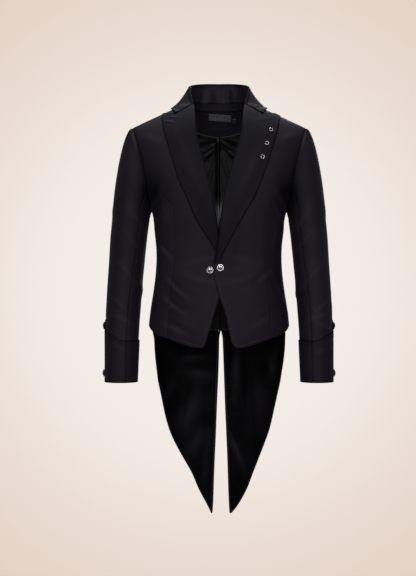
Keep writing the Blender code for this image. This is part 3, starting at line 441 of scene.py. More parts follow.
def resample(grid: np.ndarray, count: int, closed: bool = False) -> np.ndarray:
    """Reads a smooth curve through the lines of a grid.

    Args:
        grid: Points as lines by columns by three.
        count: Number of lines wanted.
        closed: Whether the last line runs on into the first.

    Returns:
        The refined grid.
    """
    last = len(grid) if closed else len(grid) - 1
    t = np.linspace(0.0, last, count, endpoint=not closed)
    i = np.minimum(t.astype(int), last - 1)
    padded = (np.concatenate([grid[-1:], grid, grid[:2]]) if closed
              else np.concatenate([2 * grid[:1] - grid[1:2], grid, 2 * grid[-1:] - grid[-2:-1]]))
    return catmull(*(padded[i + k] for k in range(4)), (t - i)[:, None, None])


def unit(vectors: np.ndarray) -> np.ndarray:
    """Scales vectors to length one."""
    return vectors / np.maximum(np.linalg.norm(vectors, axis=-1, keepdims=True), 1e-12)


class Cloth:
    """A fine shell of cloth between an outer and an inner face, with a factor on its colour at each point that carries
    painted light and shade, and in places the cloth's own tone.
    """

    # painted shade on the rounded rims, as a share of the colour
    rim_shade = 0.25
    rim_reach = 0.30
    # painted light on fold ridges and painted shade in troughs: the rise that doubles the colour, and the least and
    # most factor
    wear, least_worn, most_worn = 0.0060, 0.65, 1.35
    # seam_line: width of the painted shade along a seam
    seam_line, pucker_share, pucker_runs = 0.0014, 0.25, (0.0042, 0.0171)
    welt_rise, welt_off, welt_width = 0.05, 2.4, 1.3  # beside a seam, as shares of its depth and its width
    # painted shade round the armpit: its middle, reach, share, and squash of the height
    armpit, armpit_reach, armpit_share, armpit_squash = (0.174, -0.216), 0.034, 0.74, 0.75

    def __init__(self, outer: Sequence, inner: Sequence, size: tuple[int, int], ring: bool = False) -> None:
        """Refines two coarse grids of points.

        Args:
            outer: Points of the outer face.
            inner: Points of the inner face, behind those of the outer one.
            size: Lines and columns of the fine grid.
            ring: Whether the last column runs on into the first.
        """
        self.ring = ring
        self.outer, self.inner = (self._refine(np.array(grid, dtype=float), *size) for grid in (outer, inner))
        normals = self._normals(self.outer)
        self.facing = 1.0 if float(np.sum(normals * (self.outer - self.inner))) > 0.0 else -1.0
        self.up, self.across = (self._lengths(axis) for axis in (0, 1))
        # painted light and shade, as a factor on the colour at each point
        self.shade = np.ones(self.outer.shape[:2])

    @classmethod
    def about(cls, middle: Sequence, wall: float, size: tuple[int, int]) -> Cloth:
        """Makes a shell of even thickness about one grid of points."""
        made = cls(middle, middle, size)
        made.facing = 1.0
        half = made.normals * wall / 2
        made.outer, made.inner = made.outer + half, made.outer - half
        return made

    def _refine(self, grid: np.ndarray, lines: int, columns: int) -> np.ndarray:
        """Refines a grid both ways."""
        tall = resample(grid, lines)
        return resample(tall.transpose(1, 0, 2), columns, self.ring).transpose(1, 0, 2)

    def _normals(self, grid: np.ndarray) -> np.ndarray:
        """Gives a grid's normals, from its neighbours."""
        across = ((np.roll(grid, -1, axis=1) - np.roll(grid, 1, axis=1)) / 2 if self.ring
                  else np.gradient(grid, axis=1))
        return unit(np.cross(across, np.gradient(grid, axis=0)))

    def _lengths(self, axis: int) -> np.ndarray:
        """Measures the way up each column, axis 0, or across each line, axis 1."""
        steps = np.cumsum(np.linalg.norm(np.diff(self.outer, axis=axis), axis=-1), axis=axis)
        return np.insert(steps, 0, 0.0, axis=axis)

    @property
    def normals(self) -> np.ndarray:
        """Normals that point out of the coat."""
        return self._normals(self.outer) * self.facing

    @property
    def x(self) -> np.ndarray:
        """X of the outer face."""
        return self.outer[..., 0]

    @property
    def height(self) -> np.ndarray:
        """Z of the outer face."""
        return self.outer[..., 2]

    def from_border(self, border: Border) -> np.ndarray:
        """Measures each point's distance from a border, along the cloth."""
        return {Border.FIRST_LINE: self.up, Border.LAST_LINE: self.up[-1:] - self.up,
                Border.FIRST_COLUMN: self.across, Border.LAST_COLUMN: self.across[:, -1:] - self.across}[border]

    def lift(self, amount: Numbers) -> None:
        """Moves both faces out by an amount at each point."""
        move = self.normals * np.asarray(amount)[..., None]
        self.outer, self.inner = self.outer + move, self.inner + move

    def rise(self, folds: Iterable[Fold]) -> np.ndarray:
        """Gives how far folds lift each point."""
        return sum(fold.lift(self.x, self.height) for fold in folds)

    def fold(self, rise: np.ndarray) -> None:
        """Lifts the cloth into folds, with painted light on their ridges and painted shade in their troughs."""
        self.lift(rise)
        # painted light on the ridges, painted shade in the troughs
        self.tone(np.clip(1.0 + rise / self.wear, self.least_worn, self.most_worn))

    def tone(self, share: Numbers) -> None:
        """Makes the cloth paler or darker, as painted light and shade or as its own tone."""
        self.shade = self.shade * share

    def darken(self, off: np.ndarray, width: float, share: float) -> None:
        """Paints shade along a line, where a pressed seam or edge would hold less light; off is each point's distance
        from it.
        """
        self.tone(1.0 - share * bell(off, width))

    def press(self, borders: Iterable[Border], width: float, share: float) -> None:
        """Paints shade along the cloth's borders."""
        for border in borders:
            self.darken(self.from_border(border), width, share)

    def shadow(self, side: Side) -> None:
        """Paints shade round the armpit, where its deep folds would hold little light."""
        x, height = self.armpit
        off = np.hypot(side.value * self.x - x, (self.height - height) * self.armpit_squash)
        self.darken(off, self.armpit_reach, self.armpit_share)

    def sew(self, borders: Iterable[Border], depth: float = 0.0004, width: float = 0.0030,
            share: float = 0.40) -> None:
        """Sinks the cloth along its seams with a faint pucker, and paints shade along them.

        Args:
            borders: The sewn borders.
            depth: How far the cloth sinks.
            width: Width of the groove.
            share: Share of the colour that the painted shade along the seam takes away.
        """
        for border in borders:
            off = self.from_border(border)
            # painted shade along the seam
            self.darken(off, self.seam_line, share)
            run = self.up if border in (Border.FIRST_COLUMN, Border.LAST_COLUMN) else self.across
            fine, wide = (run / length for length in self.pucker_runs)
            pucker = self.pucker_share * np.sin(fine) * np.sin(wide + 1.3)
            self.lift(-depth * bell(off, width) * (1 + pucker)
                      + self.welt_rise * depth * bell(off - self.welt_off * width, self.welt_width * width))

    def line_at(self, border: Border, inset: float, start: float = 0.0, end: float = 1.0) -> Line:
        """Finds the line that runs at a distance from a border.

        Args:
            border: The border it follows.
            inset: Its distance from the border.
            start: Share of the border at which it starts.
            end: Share of the border at which it ends.

        Returns:
            Its points and their normals.
        """
        off, grid, normals = self.from_border(border), self.outer, self.normals
        if border in (Border.FIRST_LINE, Border.LAST_LINE):
            off, grid, normals = off.T, grid.transpose(1, 0, 2), normals.transpose(1, 0, 2)
        if border in (Border.LAST_LINE, Border.LAST_COLUMN):
            off, grid, normals = off[:, ::-1], grid[:, ::-1], normals[:, ::-1]
        last = len(off) - 1
        points, outs = [], []
        for i in range(int(start * last), int(end * last) + 1):
            j = int(np.clip(np.searchsorted(off[i], inset), 1, off.shape[1] - 1))
            t = min((inset - off[i, j - 1]) / max(off[i, j] - off[i, j - 1], 1e-9), 1.0)
            points.append(grid[i, j - 1] * (1 - t) + grid[i, j] * t)
            outs.append(normals[i, j])
        return np.array(points), unit(np.array(outs))

    def cut_size(self) -> tuple[float, float, float]:
        """Measures the cut: its greatest width and length, and its flat area."""
        rows = self.across[:, -1]
        if self.ring:
            rows = rows + np.linalg.norm(self.outer[:, 0] - self.outer[:, -1], axis=-1)
        width, length = float(rows.max()), float(self.up[-1].max())
        down, across = np.diff(self.outer, axis=0), np.diff(self.outer, axis=1)
        area = float(np.linalg.norm(np.cross(down[:, :-1], across[:-1]), axis=-1).sum())
        return width, length, min(area, width * length)

    def build(self, name: str) -> bpy.types.Object:
        """Makes the closed mesh, with rounded rims, its painted shade and a flat pattern in metres as its UV map.

        Args:
            name: The piece's name.

        Returns:
            The new object.
        """
        outer, inner = self.outer.reshape(-1, 3), self.inner.reshape(-1, 3)
        count = len(outer)
        number = np.arange(count).reshape(self.outer.shape[:2])
        right = np.roll(number, -1, axis=1) if self.ring else number[:, 1:]
        left = number if self.ring else number[:, :-1]
        face = np.stack([left[:-1], right[:-1], right[1:], left[1:]], axis=-1).reshape(-1, 4)
        quads, vertices = [face, face[:, ::-1] + count], [outer, inner]
        flats = [np.stack([self.across, self.up], axis=-1).reshape(-1, 2)] * 2
        shades = [self.shade.ravel()] * 2
        for loop, inside in self._rims(number):
            middle = sum(map(len, vertices)) + np.arange(len(loop))
            wall = np.linalg.norm(outer[loop] - inner[loop], axis=-1)
            away = unit(outer[loop] - outer[inside])
            vertices.append((outer[loop] + inner[loop]) / 2 + away * wall[:, None] * self.rim_reach)
            flats.append(flats[0][loop])
            # painted shade on the rim
            shades.append(shades[0][loop] * self.rim_shade)
            for upper, lower in ((loop, middle), (middle, loop + count)):
                quads.append(np.stack([upper, lower, np.roll(lower, -1), np.roll(upper, -1)], axis=-1))
        mesh = bpy.data.meshes.new(name)
        mesh.from_pydata(np.concatenate(vertices).tolist(), [], np.concatenate(quads).tolist())
        corners = np.empty(len(mesh.loops), dtype=np.int32)
        mesh.loops.foreach_get("vertex_index", corners)
        flat = np.concatenate(flats)[corners].astype(np.float32)
        mesh.uv_layers.new(name="cut").data.foreach_set("uv", flat.ravel())
        shade = np.repeat(np.concatenate(shades), 4).astype(np.float32)
        mesh.color_attributes.new("shade", "FLOAT_COLOR", "POINT").data.foreach_set("color", shade)
        turn_outwards(mesh)
        mesh.shade_smooth()
        return add_object(name, mesh)

    def _rims(self, number: np.ndarray) -> list[tuple[np.ndarray, np.ndarray]]:
        """Lists the border loops as vertex numbers, each with its neighbours inside the cloth."""
        if self.ring:
            return [(number[0], number[1]), (number[-1], number[-2])]
        inner = number.copy()
        inner[0], inner[-1] = number[1], number[-2]
        inner[:, 0], inner[:, -1] = inner[:, 1], inner[:, -2]
        return [tuple(np.concatenate([grid[0, :-1], grid[:-1, -1], grid[-1, :0:-1], grid[:0:-1, 0]])
                      for grid in (number, inner))]


def turn_outwards(mesh: bpy.types.Mesh) -> None:
    """Makes the faces of a closed mesh point outwards."""
    work = bmesh.new()
    work.from_mesh(mesh)
    bmesh.ops.recalc_face_normals(work, faces=work.faces)
    if work.calc_volume(signed=True) < 0.0:
        bmesh.ops.reverse_faces(work, faces=work.faces)
    work.to_mesh(mesh)
    work.free()


# Finishes

@dataclass(frozen=True)
class Finish:
    """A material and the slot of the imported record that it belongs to."""

    material: bpy.types.Material
    slot: Slot


class Shader:
    """A material that is built up node by node."""

    metre_ribs = 0.314  # the wave texture's scale for ribs a metre apart

    def __init__(self, name: str, level: float = 0.5) -> None:
        """Starts a material with a bare Principled shader; level is its specular level, where the painted shade scales
        it.
        """
        self.material = bpy.data.materials.new(name)
        self.material.use_nodes = True
        self.tree = self.material.node_tree
        self.level = level
        place = self.add("ShaderNodeTexCoord")
        self.place = place.outputs["Object"]

    def add(self, kind: str, vector: bpy.types.NodeSocket | None = None, **values: object) -> bpy.types.Node:
        """Adds a node and sets its sockets and options by name.

        Args:
            kind: The node's type, such as ShaderNodeTexNoise.
            vector: What its Vector socket reads.
            values: Options by their own name, and sockets by theirs with spaces as underscores.

        Returns:
            The node.
        """
        node = self.tree.nodes.new(kind)
        for key, value in values.items():
            if hasattr(node, key):
                setattr(node, key, value)
            else:
                node.inputs[key.replace("_", " ")].default_value = value
        if vector is not None:
            self.link(vector, node.inputs["Vector"])
        return node

    def link(self, source: bpy.types.NodeSocket, target: bpy.types.NodeSocket) -> None:
        """Links an output to an input."""
        self.tree.links.new(source, target)

    def cut(self) -> bpy.types.NodeSocket:
        """Gives the flat pattern of the cloth, in metres."""
        return self.add("ShaderNodeUVMap", uv_map="cut").outputs["UV"]

    def noise(self, source: bpy.types.NodeSocket, scale: float, detail: float = 3.0) -> bpy.types.NodeSocket:
        """Adds a noise pattern that reads a coordinate."""
        return self.add("ShaderNodeTexNoise", source, Scale=scale, Detail=detail).outputs["Fac"]

    def bands(self, source: bpy.types.NodeSocket, pitch: float, **values: object) -> bpy.types.NodeSocket:
        """Adds ribs of a pitch in metres."""
        scale = self.metre_ribs / pitch
        return self.add("ShaderNodeTexWave", source, wave_type="BANDS", Scale=scale, **values).outputs["Fac"]

    def ramp(self, source: bpy.types.NodeSocket, low: tuple | float, high: tuple | float, start: float = 0.0,
             end: float = 1.0) -> bpy.types.NodeSocket:
        """Turns a pattern into a change from one colour or value to another."""
        node = self.add("ShaderNodeValToRGB")
        for stop, position, value in zip(node.color_ramp.elements, (start, end), (low, high)):
            stop.position, stop.color = position, (*(value if isinstance(value, tuple) else (value,) * 3), 1.0)
        self.link(source, node.inputs["Fac"])
        return node.outputs["Color"]

    def shaded(self, colour: bpy.types.NodeSocket) -> bpy.types.NodeSocket:
        """Multiplies a colour, and the specular level, by the painted shade that the mesh carries."""
        shade = self.add("ShaderNodeAttribute", attribute_name="shade")
        product = self.add("ShaderNodeVectorMath", operation="MULTIPLY")
        self.link(colour, product.inputs[0])
        self.link(shade.outputs["Color"], product.inputs[1])
        gloss = self.add("ShaderNodeMath", operation="MULTIPLY")
        gloss.inputs[1].default_value = self.level
        self.link(shade.outputs["Fac"], gloss.inputs[0])
        self.surface(Specular_IOR_Level=gloss.outputs["Value"])
        return product.outputs["Vector"]

    def bump(self, height: bpy.types.NodeSocket, strength: float, distance: float,
             under: bpy.types.NodeSocket | None = None) -> bpy.types.NodeSocket:
        """Adds relief, over other relief if there is any."""
        node = self.add("ShaderNodeBump", Strength=strength, Distance=distance)
        self.link(height, node.inputs["Height"])
        if under is not None:
            self.link(under, node.inputs["Normal"])
        return node.outputs["Normal"]

    def surface(self, **values: object) -> bpy.types.Material:
        """Sets the shader's own sockets to even values or links patterns to them, and gives the material."""
        for key, value in values.items():
            socket = self.tree.nodes["Principled BSDF"].inputs[key.replace("_", " ")]
            if isinstance(value, bpy.types.NodeSocket):
                self.link(value, socket)
            else:
                socket.default_value = value
        return self.material


@dataclass(frozen=True)
class TwillFinish:
    """Fine wool-like twill: diagonal ribs, a soft nap and a faint unevenness of colour."""

    name: str = "black_twill_cloth"
    dark: tuple = (0.0058, 0.0043, 0.0082)
    light: tuple = (0.0094, 0.0071, 0.0127)
    roughness: tuple[float, float] = (0.56, 0.70)
    rib: float = 0.0009
    slope: float = radians(63.0)
    specular: float = 0.16
    sheen: float = 0.02
    patches: float = 9.0
    nap: float = 60.0
    waves: float = 34.0

    def make(self) -> bpy.types.Material:
        """Makes the material."""
        shader = Shader(self.name, self.specular)
        cut = shader.cut()
        turned = shader.add("ShaderNodeMapping", cut, Rotation=(0.0, 0.0, self.slope)).outputs["Vector"]
        ribs = shader.bands(turned, self.rib, Distortion=0.6, Detail=1.0)
        relief = shader.bump(shader.noise(shader.place, self.waves, detail=4.0), strength=0.22, distance=0.0012)
        shade = shader.noise(shader.place, self.patches)
        return shader.surface(
            Base_Color=shader.shaded(shader.ramp(shade, self.dark, self.light, start=0.3, end=0.75)),
            Roughness=shader.ramp(shader.noise(cut, self.nap), *self.roughness),
            Normal=shader.bump(ribs, strength=0.30, distance=0.0001, under=relief),
            Sheen_Weight=self.sheen, Sheen_Roughness=0.45, Sheen_Tint=(0.75, 0.78, 1.0, 1.0))


@dataclass(frozen=True)
class SatinFinish:
    """Smooth lining: a fine weave with a soft gloss and shallow puckers."""

    name: str = "black_satin_cloth"
    dark: tuple = (0.0016, 0.0017, 0.0017)
    light: tuple = (0.0062, 0.0064, 0.0062)
    roughness: tuple[float, float] = (0.36, 0.50)
    specular: float = 0.17
    pucker: float = 0.45
    patches: float = 14.0
    ripples: float = 26.0
    thread: float = 0.314 / 900.0

    def make(self) -> bpy.types.Material:
        """Makes the material."""
        shader = Shader(self.name, self.specular)
        shade = shader.noise(shader.place, self.patches, detail=4.0)
        relief = shader.bump(shader.noise(shader.place, self.ripples), strength=self.pucker, distance=0.004)
        weave = shader.bands(shader.cut(), self.thread, Distortion=1.0)
        return shader.surface(
            Base_Color=shader.shaded(shader.ramp(shade, self.dark, self.light, start=0.35, end=0.70)),
            Roughness=shader.ramp(shade, *self.roughness),
            Normal=shader.bump(weave, strength=0.12, distance=0.00005, under=relief), Anisotropic=0.35)


@dataclass(frozen=True)
class WovenFinish:
    """A bare woven ribbon or thread of one colour, with fine cross ribs."""

    name: str
    dark: tuple | float
    light: tuple | float
    rib: float = 0.0005
    fuzz: float = 300.0

    def make(self) -> bpy.types.Material:
        """Makes the material."""
        shader = Shader(self.name)
        ribs = shader.bands(shader.place, self.rib, bands_direction="Z", Distortion=0.4)
        return shader.surface(
            Base_Color=shader.ramp(shader.noise(shader.place, self.fuzz), self.dark, self.light, start=0.3, end=0.7),
            Normal=shader.bump(ribs, strength=0.4, distance=0.0001), Roughness=0.62, Specular_IOR_Level=0.3)


@dataclass(frozen=True)
class MetalFinish:
    """Polished silver-coloured metal with fine scratches and a darker bloom."""

    name: str = "silver_metal_polished"
    dark: tuple = (0.09, 0.09, 0.10)
    light: tuple = (0.48, 0.47, 0.46)
    roughness: tuple[float, float] = (0.32, 0.16)
    bloom: float = 260.0
    scratches: float = 1400.0

    def make(self) -> bpy.types.Material:
        """Makes the material."""
        shader = Shader(self.name)
        bloom = shader.noise(shader.place, self.bloom, detail=4.0)
        return shader.surface(
            Base_Color=shader.shaded(shader.ramp(bloom, self.dark, self.light, start=0.30, end=0.62)),
            Roughness=shader.ramp(bloom, *self.roughness),
            Normal=shader.bump(shader.noise(shader.place, self.scratches), strength=0.08, distance=0.0002),
            Metallic=1.0)


class Wardrobe:
    """The finishes, each made once."""

    def __init__(self) -> None:
        """Makes every finish."""
        tails = SatinFinish("black_satin_tails", (0.0002, 0.0002, 0.0003), (0.0027, 0.0020, 0.0032),
                            roughness=(0.42, 0.58), specular=0.045, pucker=0.60, patches=16.0, ripples=12.0)
        ribbon = WovenFinish("grey_label_ribbon", (0.052, 0.051, 0.058), (0.077, 0.076, 0.088))
        plain = WovenFinish("black_thread", (0.006, 0.005, 0.007), (0.014, 0.012, 0.016)).make()
        warm = WovenFinish("reddish_black_thread", (0.060, 0.032, 0.042), (0.110, 0.062, 0.080))
        self.twill = Finish(TwillFinish().make(), Slot.TWILL)
        self.satin = Finish(SatinFinish().make(), Slot.SATIN)
        self.tail_satin = Finish(tails.make(), Slot.SATIN)
        self.label = Finish(ribbon.make(), Slot.LABEL)
        self.metal = Finish(MetalFinish().make(), Slot.METAL)
        self.thread, self.label_thread = Finish(plain, Slot.TWILL), Finish(plain, Slot.LABEL)
        self.warm_thread = Finish(warm.make(), Slot.TWILL)
        self.tab_thread = Finish(WovenFinish("tab_thread", 0.30, 0.45).make(), Slot.LABEL)


def dress(piece: bpy.types.Object, finish: Finish, *nodes: str) -> bpy.types.Object:
    """Gives a piece its finish and its body, and reports it.

    Args:
        piece: The piece.
        finish: Its finish.
        nodes: The solids that it stands for.

    Returns:
        The same piece.
    """
    piece.data.materials.clear()
    piece.data.materials.append(finish.material)
    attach(piece, BODY_NAME)
    if nodes:
        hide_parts(*nodes)
    LOG.info("%s: %d faces, %s", piece.name, len(piece.data.polygons), finish.material.name)
    return piece


def sew_in(cloth: Cloth, node: str, finish: Finish) -> bpy.types.Object:
    """Builds the cloth that stands for a solid, and states the size it was cut to."""
    piece = dress(cloth.build(f"{node}_cloth"), finish, node)
    *size, area = cloth.cut_size()
    flat = tuple(max(round(length, 4), LEAST_CUT) for length in size)
    area = min(area, MOST_FILLED * flat[0] * flat[1])
    LOG.info("%s: cut %.3f by %.3f m, %.5f square metres", node, *flat, area)
    return piece


# Thread

@dataclass(frozen=True)
class Stitching:
    """A row of small stitches: each is a round-ended bar of thread that lies on the cloth."""

    length: float = 0.0028
    pitch: float = 0.0044
    radius: float = 0.00028
    sides: int = 5
    bulges: tuple = ((-1.0, 0.25), (-0.8, 0.85), (0.8, 0.85), (1.0, 0.25))  # share of half the length, of the radius
    proud: float = 0.35
    step: float = 0.001

    def spots(self, points: np.ndarray, normals: np.ndarray) -> tuple[np.ndarray, np.ndarray, np.ndarray]:
        """Places stitches evenly along a line.

        Args:
            points: The line's points.
            normals: The cloth's normals at them.

        Returns:
            The middles, directions and normals of the stitches.
        """
        run = np.concatenate([[0.0], np.cumsum(np.linalg.norm(np.diff(points, axis=0), axis=1))])
        stops = np.arange(self.pitch / 2, run[-1], self.pitch)

        def read(values: np.ndarray, step: float) -> np.ndarray:
            """Reads values a step beyond each stop."""
            return np.stack([np.interp(stops + step, run, values[:, k]) for k in range(3)], axis=1)

        return read(points, 0.0), unit(read(points, self.step) - read(points, -self.step)), unit(read(normals, 0.0))

    def row(self, name: str, lines: Iterable[Line]) -> bpy.types.Object:
        """Makes one mesh of all the stitches along several lines."""
        placed = [self.spots(*line) for line in lines]
        middles, ways, ups = (np.concatenate([spot[k] for spot in placed]) for k in range(3))
        sideways = unit(np.cross(ways, ups))
        vertices = []
        for at, wide in self.bulges:
            for turn in (2 * pi * k / self.sides for k in range(self.sides)):
                vertices.append(middles + ways * at * self.length / 2 + sideways * self.radius * wide * cos(turn)
                                + ups * self.radius * (wide * sin(turn) + self.proud))
        vertices = np.stack(vertices, axis=1)
        number = np.arange(vertices.shape[1]).reshape(len(self.bulges), self.sides)
        after = np.roll(number, -1, axis=1)
        one = np.stack([number[:-1], after[:-1], after[1:], number[1:]], axis=-1).reshape(-1, 4).tolist()
        one += [number[0, ::-1].tolist(), number[-1].tolist()]
        faces = [[index + number.size * n for index in face] for n in range(len(vertices)) for face in one]
        mesh = bpy.data.meshes.new(name)
        mesh.from_pydata(vertices.reshape(-1, 3).tolist(), [], faces)
        turn_outwards(mesh)
        mesh.shade_smooth()
        return add_object(name, mesh)


# Body panels

EDGE_TABLE = (  # height, left, right: the fronts' free edge
    (-0.6072, 0.0440, 0.0425), (-0.5985, 0.0328, 0.0359), (-0.5560, 0.0230, 0.0236), (-0.5161, 0.0135, 0.0118),
    (-0.4776, -0.0007, 0.0000), (-0.4500, -0.0071, -0.0070), (-0.4227, -0.0131, -0.0125), (-0.3949, -0.0126, -0.0120),
    (-0.3636, -0.0084, -0.0060), (-0.3304, -0.0022, 0.0009), (-0.3006, 0.0003, 0.0047), (-0.2262, 0.0110, 0.0171),
    (-0.1332, 0.0359, 0.0415), (-0.0708, 0.0531, 0.0565), (-0.0210, 0.0587, 0.0610), (0.0080, 0.0630, 0.0640))


def front_edge(side: Side, height: float) -> float:
    """Gives the free edge's distance from the middle at a height."""
    return look_up(EDGE_TABLE, height, side.column)


def front_spot(side: Side, x: float, height: float, out: float) -> tuple[Vector, Vector]:
    """Finds a point over a front, and the direction out of the cloth there."""
    place = FORM.place(x, height)
    return FORM.on(side, *place, out), side.mirror(FORM.normal(*place))


@dataclass(frozen=True)
class Armhole:
    """The ring where a sleeve joins the body, in angle and height."""

    top: float = -0.045
    low: float = -0.262
    front: float = radians(29.0)
    narrows: float = radians(8.5)
    back: float = radians(24.0)
    parts: int = 24
    side_part: int = 7
    back_part: int = 17

    def place(self, turn: float) -> Place:
        """Gives a place on the ring: turn 0 is the shoulder's tip, 90 degrees the front."""
        share = (1 + cos(turn)) / 2
        wide = self.front - self.narrows * share if sin(turn) > 0 else self.back
        return FORM.edge_place(pi / 2 - wide * sin(turn), self.low + (self.top - self.low) * share)

    def turn(self, part: float) -> float:
        """Gives the angle of a part of the ring."""
        return 2 * pi * part / self.parts

    def path(self, start: float, end: float) -> Path:
        """Gives the path between two parts of the ring."""
        return lambda t: self.place(self.turn(start + (end - start) * t))


ARMHOLE = Armhole()


@dataclass
class BodyPanels:
    """Fronts, side bodies and half backs."""

    wardrobe: Wardrobe
    panel_line: tuple = ((0.1300, -0.5825), (0.1294, -0.5445), (0.1260, -0.4770), (0.1157, -0.4145),
                         (0.1137, -0.3744), (0.1142, -0.2894), (0.1257, -0.2418))
    hem: tuple = ((14.0, -0.6072), (43.0, -0.5838), (65.0, -0.5700), (78.0, -0.5570), (90.0, -0.5520),
                  (101.0, -0.5580), (110.0, -0.5715), (111.0, -0.5715), (112.0, -0.5715), (180.0, -0.5715))
    back_seam: float = 126.0
    back_seam_rises: tuple = ((2.0, -0.40), (7.0, -0.30))  # degrees towards the front, height
    nape: float = 0.005
    neck_curve: float = 1.5
    neck_share: float = 5 / 21
    line_share: float = 14 / 21
    under_lapel: float = 0.0045
    lapel_starts: tuple[float, float] = (-0.402, -0.385)
    hem_inset: float = 0.0070
    hem_groove: tuple[float, float] = (0.0004, 0.0022)  # depth, width
    low_front: tuple[float, float] = (-0.50, -0.40)
    # painted shade over the low part of the front
    low_front_shade: float = 0.14
    side_tones: tuple[float, float] = (0.82, 1.06)  # painted shade of each side body: left, right
    panel_seam: tuple[float, float, float] = (0.0003, 0.0030, 0.22)  # depth, width, share of painted shade
    gap_reach: float = 0.15
    centre_reach: float = 0.10
    creases: tuple[Fold, ...] = ()
    back_creases: tuple[Fold, ...] = ()

    def hem_place(self, angle: float) -> Place:
        """Gives a place on the hem at an angle in degrees."""
        return FORM.edge_place(radians(angle), look_up(self.hem, angle, 1))

    def back_line(self) -> list[Place]:
        """Lists the places of the seam between side body and back, from the hem up."""
        rises = [FORM.edge_place(radians(self.back_seam - turn), height) for turn, height in self.back_seam_rises]
        return [self.hem_place(self.back_seam), *rises, ARMHOLE.place(ARMHOLE.turn(ARMHOLE.back_part))]

    def front_line(self) -> list[Place]:
        """Lists the places of the seam between front and side body, from the hem up."""
        return [FORM.place(x, z) for x, z in self.panel_line] + [ARMHOLE.place(ARMHOLE.turn(ARMHOLE.side_part))]

    @staticmethod
    def drop_top(places: list[list[Place]], toward: int) -> list[list[Place]]:
        """Keeps a panel half a seam from the shoulder's ridge; toward is -1 for the front and 1 for the back."""
        def drop(angle: float, row: float) -> Place:
            """Moves one place down off the ridge, and off the shoulder's tip."""
            if row <= FORM.top - FORM.ridge_rows:
                return angle, row
            if toward * (angle - pi / 2) < FORM.tip_turn:
                angle = pi / 2 + toward * FORM.tip_turn
            depth = FORM.sections[-2][2] * abs(cos(angle)) ** FORM.square
            return angle, min(row, FORM.top - SEAM / 2 / (depth + 1e-6))

        return [[drop(*place) for place in line] for line in places]

    @staticmethod
    def shell(side: Side, places: list[list[Place]], size: tuple[int, int], out: float = 0.0,
              wall: float = WALL) -> Cloth:
        """Makes a fine shell over the body from coarse places; size is its lines and columns."""
        return Cloth(*([[FORM.on(side, *place, move) for place in line] for line in places]
                       for move in (out, out - wall)), size)

    def seamed(self, places: list[list[Place]], near: int, far: int) -> list[list[Place]]:
        """Moves a panel's border columns inwards by a seam's gap."""
        shift = SEAM / self.gap_reach
        return [[(line[0][0] + near * shift, line[0][1]), *line[1:-1], (line[-1][0] - far * shift, line[-1][1])]
                for line in places]

    def front(self, side: Side) -> Cloth:
        """Makes one front, from its free edge to the side seam, the armhole and the shoulder."""
        edge = [FORM.place(front_edge(side, z) + self.under_lapel * fade(z, *self.lapel_starts), z)
                for z, *_ in EDGE_TABLE]
        near = path(edge + [FORM.place(FORM.neck_half, FORM.ridge(FORM.neck_half))])
        seam = path(self.front_line())
        far = joined(seam, ARMHOLE.path(ARMHOLE.side_part, 0), self.line_share)
        corner, foot = near(0.0), seam(0.0)
        angles = [degrees(corner[0]) + (degrees(foot[0]) - degrees(corner[0])) * t for t in even(4)]
        low = path([corner, *(self.hem_place(angle) for angle in angles[1:-1]), foot])
        places = patch(low, straight(near(1.0), far(1.0)), near, far, even(42), even(18))
        cloth = self.shell(side, self.drop_top(places, -1), size=(160, 64))
        cloth.fold(cloth.rise(self.creases))
        cloth.sew((Border.LAST_COLUMN,), *self.panel_seam)
        cloth.sew((Border.LAST_LINE,))
        low_half = 1.0 - fade(cloth.height, *self.low_front)
        # painted shade: the low part of the front darker
        cloth.tone(1.0 - self.low_front_shade * low_half)
        cloth.shadow(side)
        depth, width = self.hem_groove
        hem, edge = (bell(cloth.from_border(border) - self.hem_inset, width)
                     for border in (Border.FIRST_LINE, Border.FIRST_COLUMN))
        cloth.lift(-depth * (hem + low_half * edge))
        return cloth

    def side_body(self, side: Side) -> Cloth:
        """Makes one side body, under the arm."""
        near, far = path(self.front_line()), path(self.back_line())
        foot = degrees(near(0.0)[0])
        low = path([near(0.0)] + [self.hem_place(foot + (self.back_seam - foot) * t) for t in even(9)[1:]])
        high = ARMHOLE.path(ARMHOLE.side_part, ARMHOLE.back_part)
        places = self.seamed(patch(low, high, near, far, even(28), even(16)), 1, 1)
        cloth = self.shell(side, places, size=(110, 52))
        cloth.fold(cloth.rise(self.creases))
        cloth.sew((Border.FIRST_COLUMN,), *self.panel_seam)
        cloth.sew((Border.LAST_COLUMN, Border.LAST_LINE))
        # painted shade: the left side body darker, the right one a little paler
        cloth.tone(side.pick(self.side_tones))
        cloth.shadow(side)
        return cloth

    def neckline(self, share: float) -> Place:
        """Gives a place on the back neckline: 0 at the shoulder seam, 1 at the nape."""
        half = FORM.neck_half
        height = self.nape + (FORM.ridge(half) - self.nape) * (1 - sin(share * pi / 2)) ** self.neck_curve
        x = half * cos(share * pi / 2)
        return FORM.place(x, min(height, FORM.ridge(x)), back=True)

    def back(self, side: Side) -> Cloth:
        """Makes one half of the back, from the tail's seam to the shoulder and the neck."""
        near = joined(path(self.back_line()), ARMHOLE.path(ARMHOLE.back_part, ARMHOLE.parts), self.line_share)
        centre = straight((pi, self.hem_place(180.0)[1]), self.neckline(1.0))
        far = joined(centre, lambda t: self.neckline(1.0 - t), 1.0 - self.neck_share)
        places = patch(straight(near(0.0), far(0.0)), straight(near(1.0), far(1.0)), near, far, even(42), even(16))
        middle = pi - SEAM / 2 / self.centre_reach
        places = [[(min(angle, middle), row) for angle, row in line] for line in self.seamed(places, 1, 0)]
        cloth = self.shell(side, self.drop_top(places, 1), size=(140, 56))
        cloth.fold(cloth.rise(self.back_creases))
        cloth.sew((Border.FIRST_COLUMN, Border.LAST_COLUMN, Border.FIRST_LINE, Border.LAST_LINE))
        return cloth

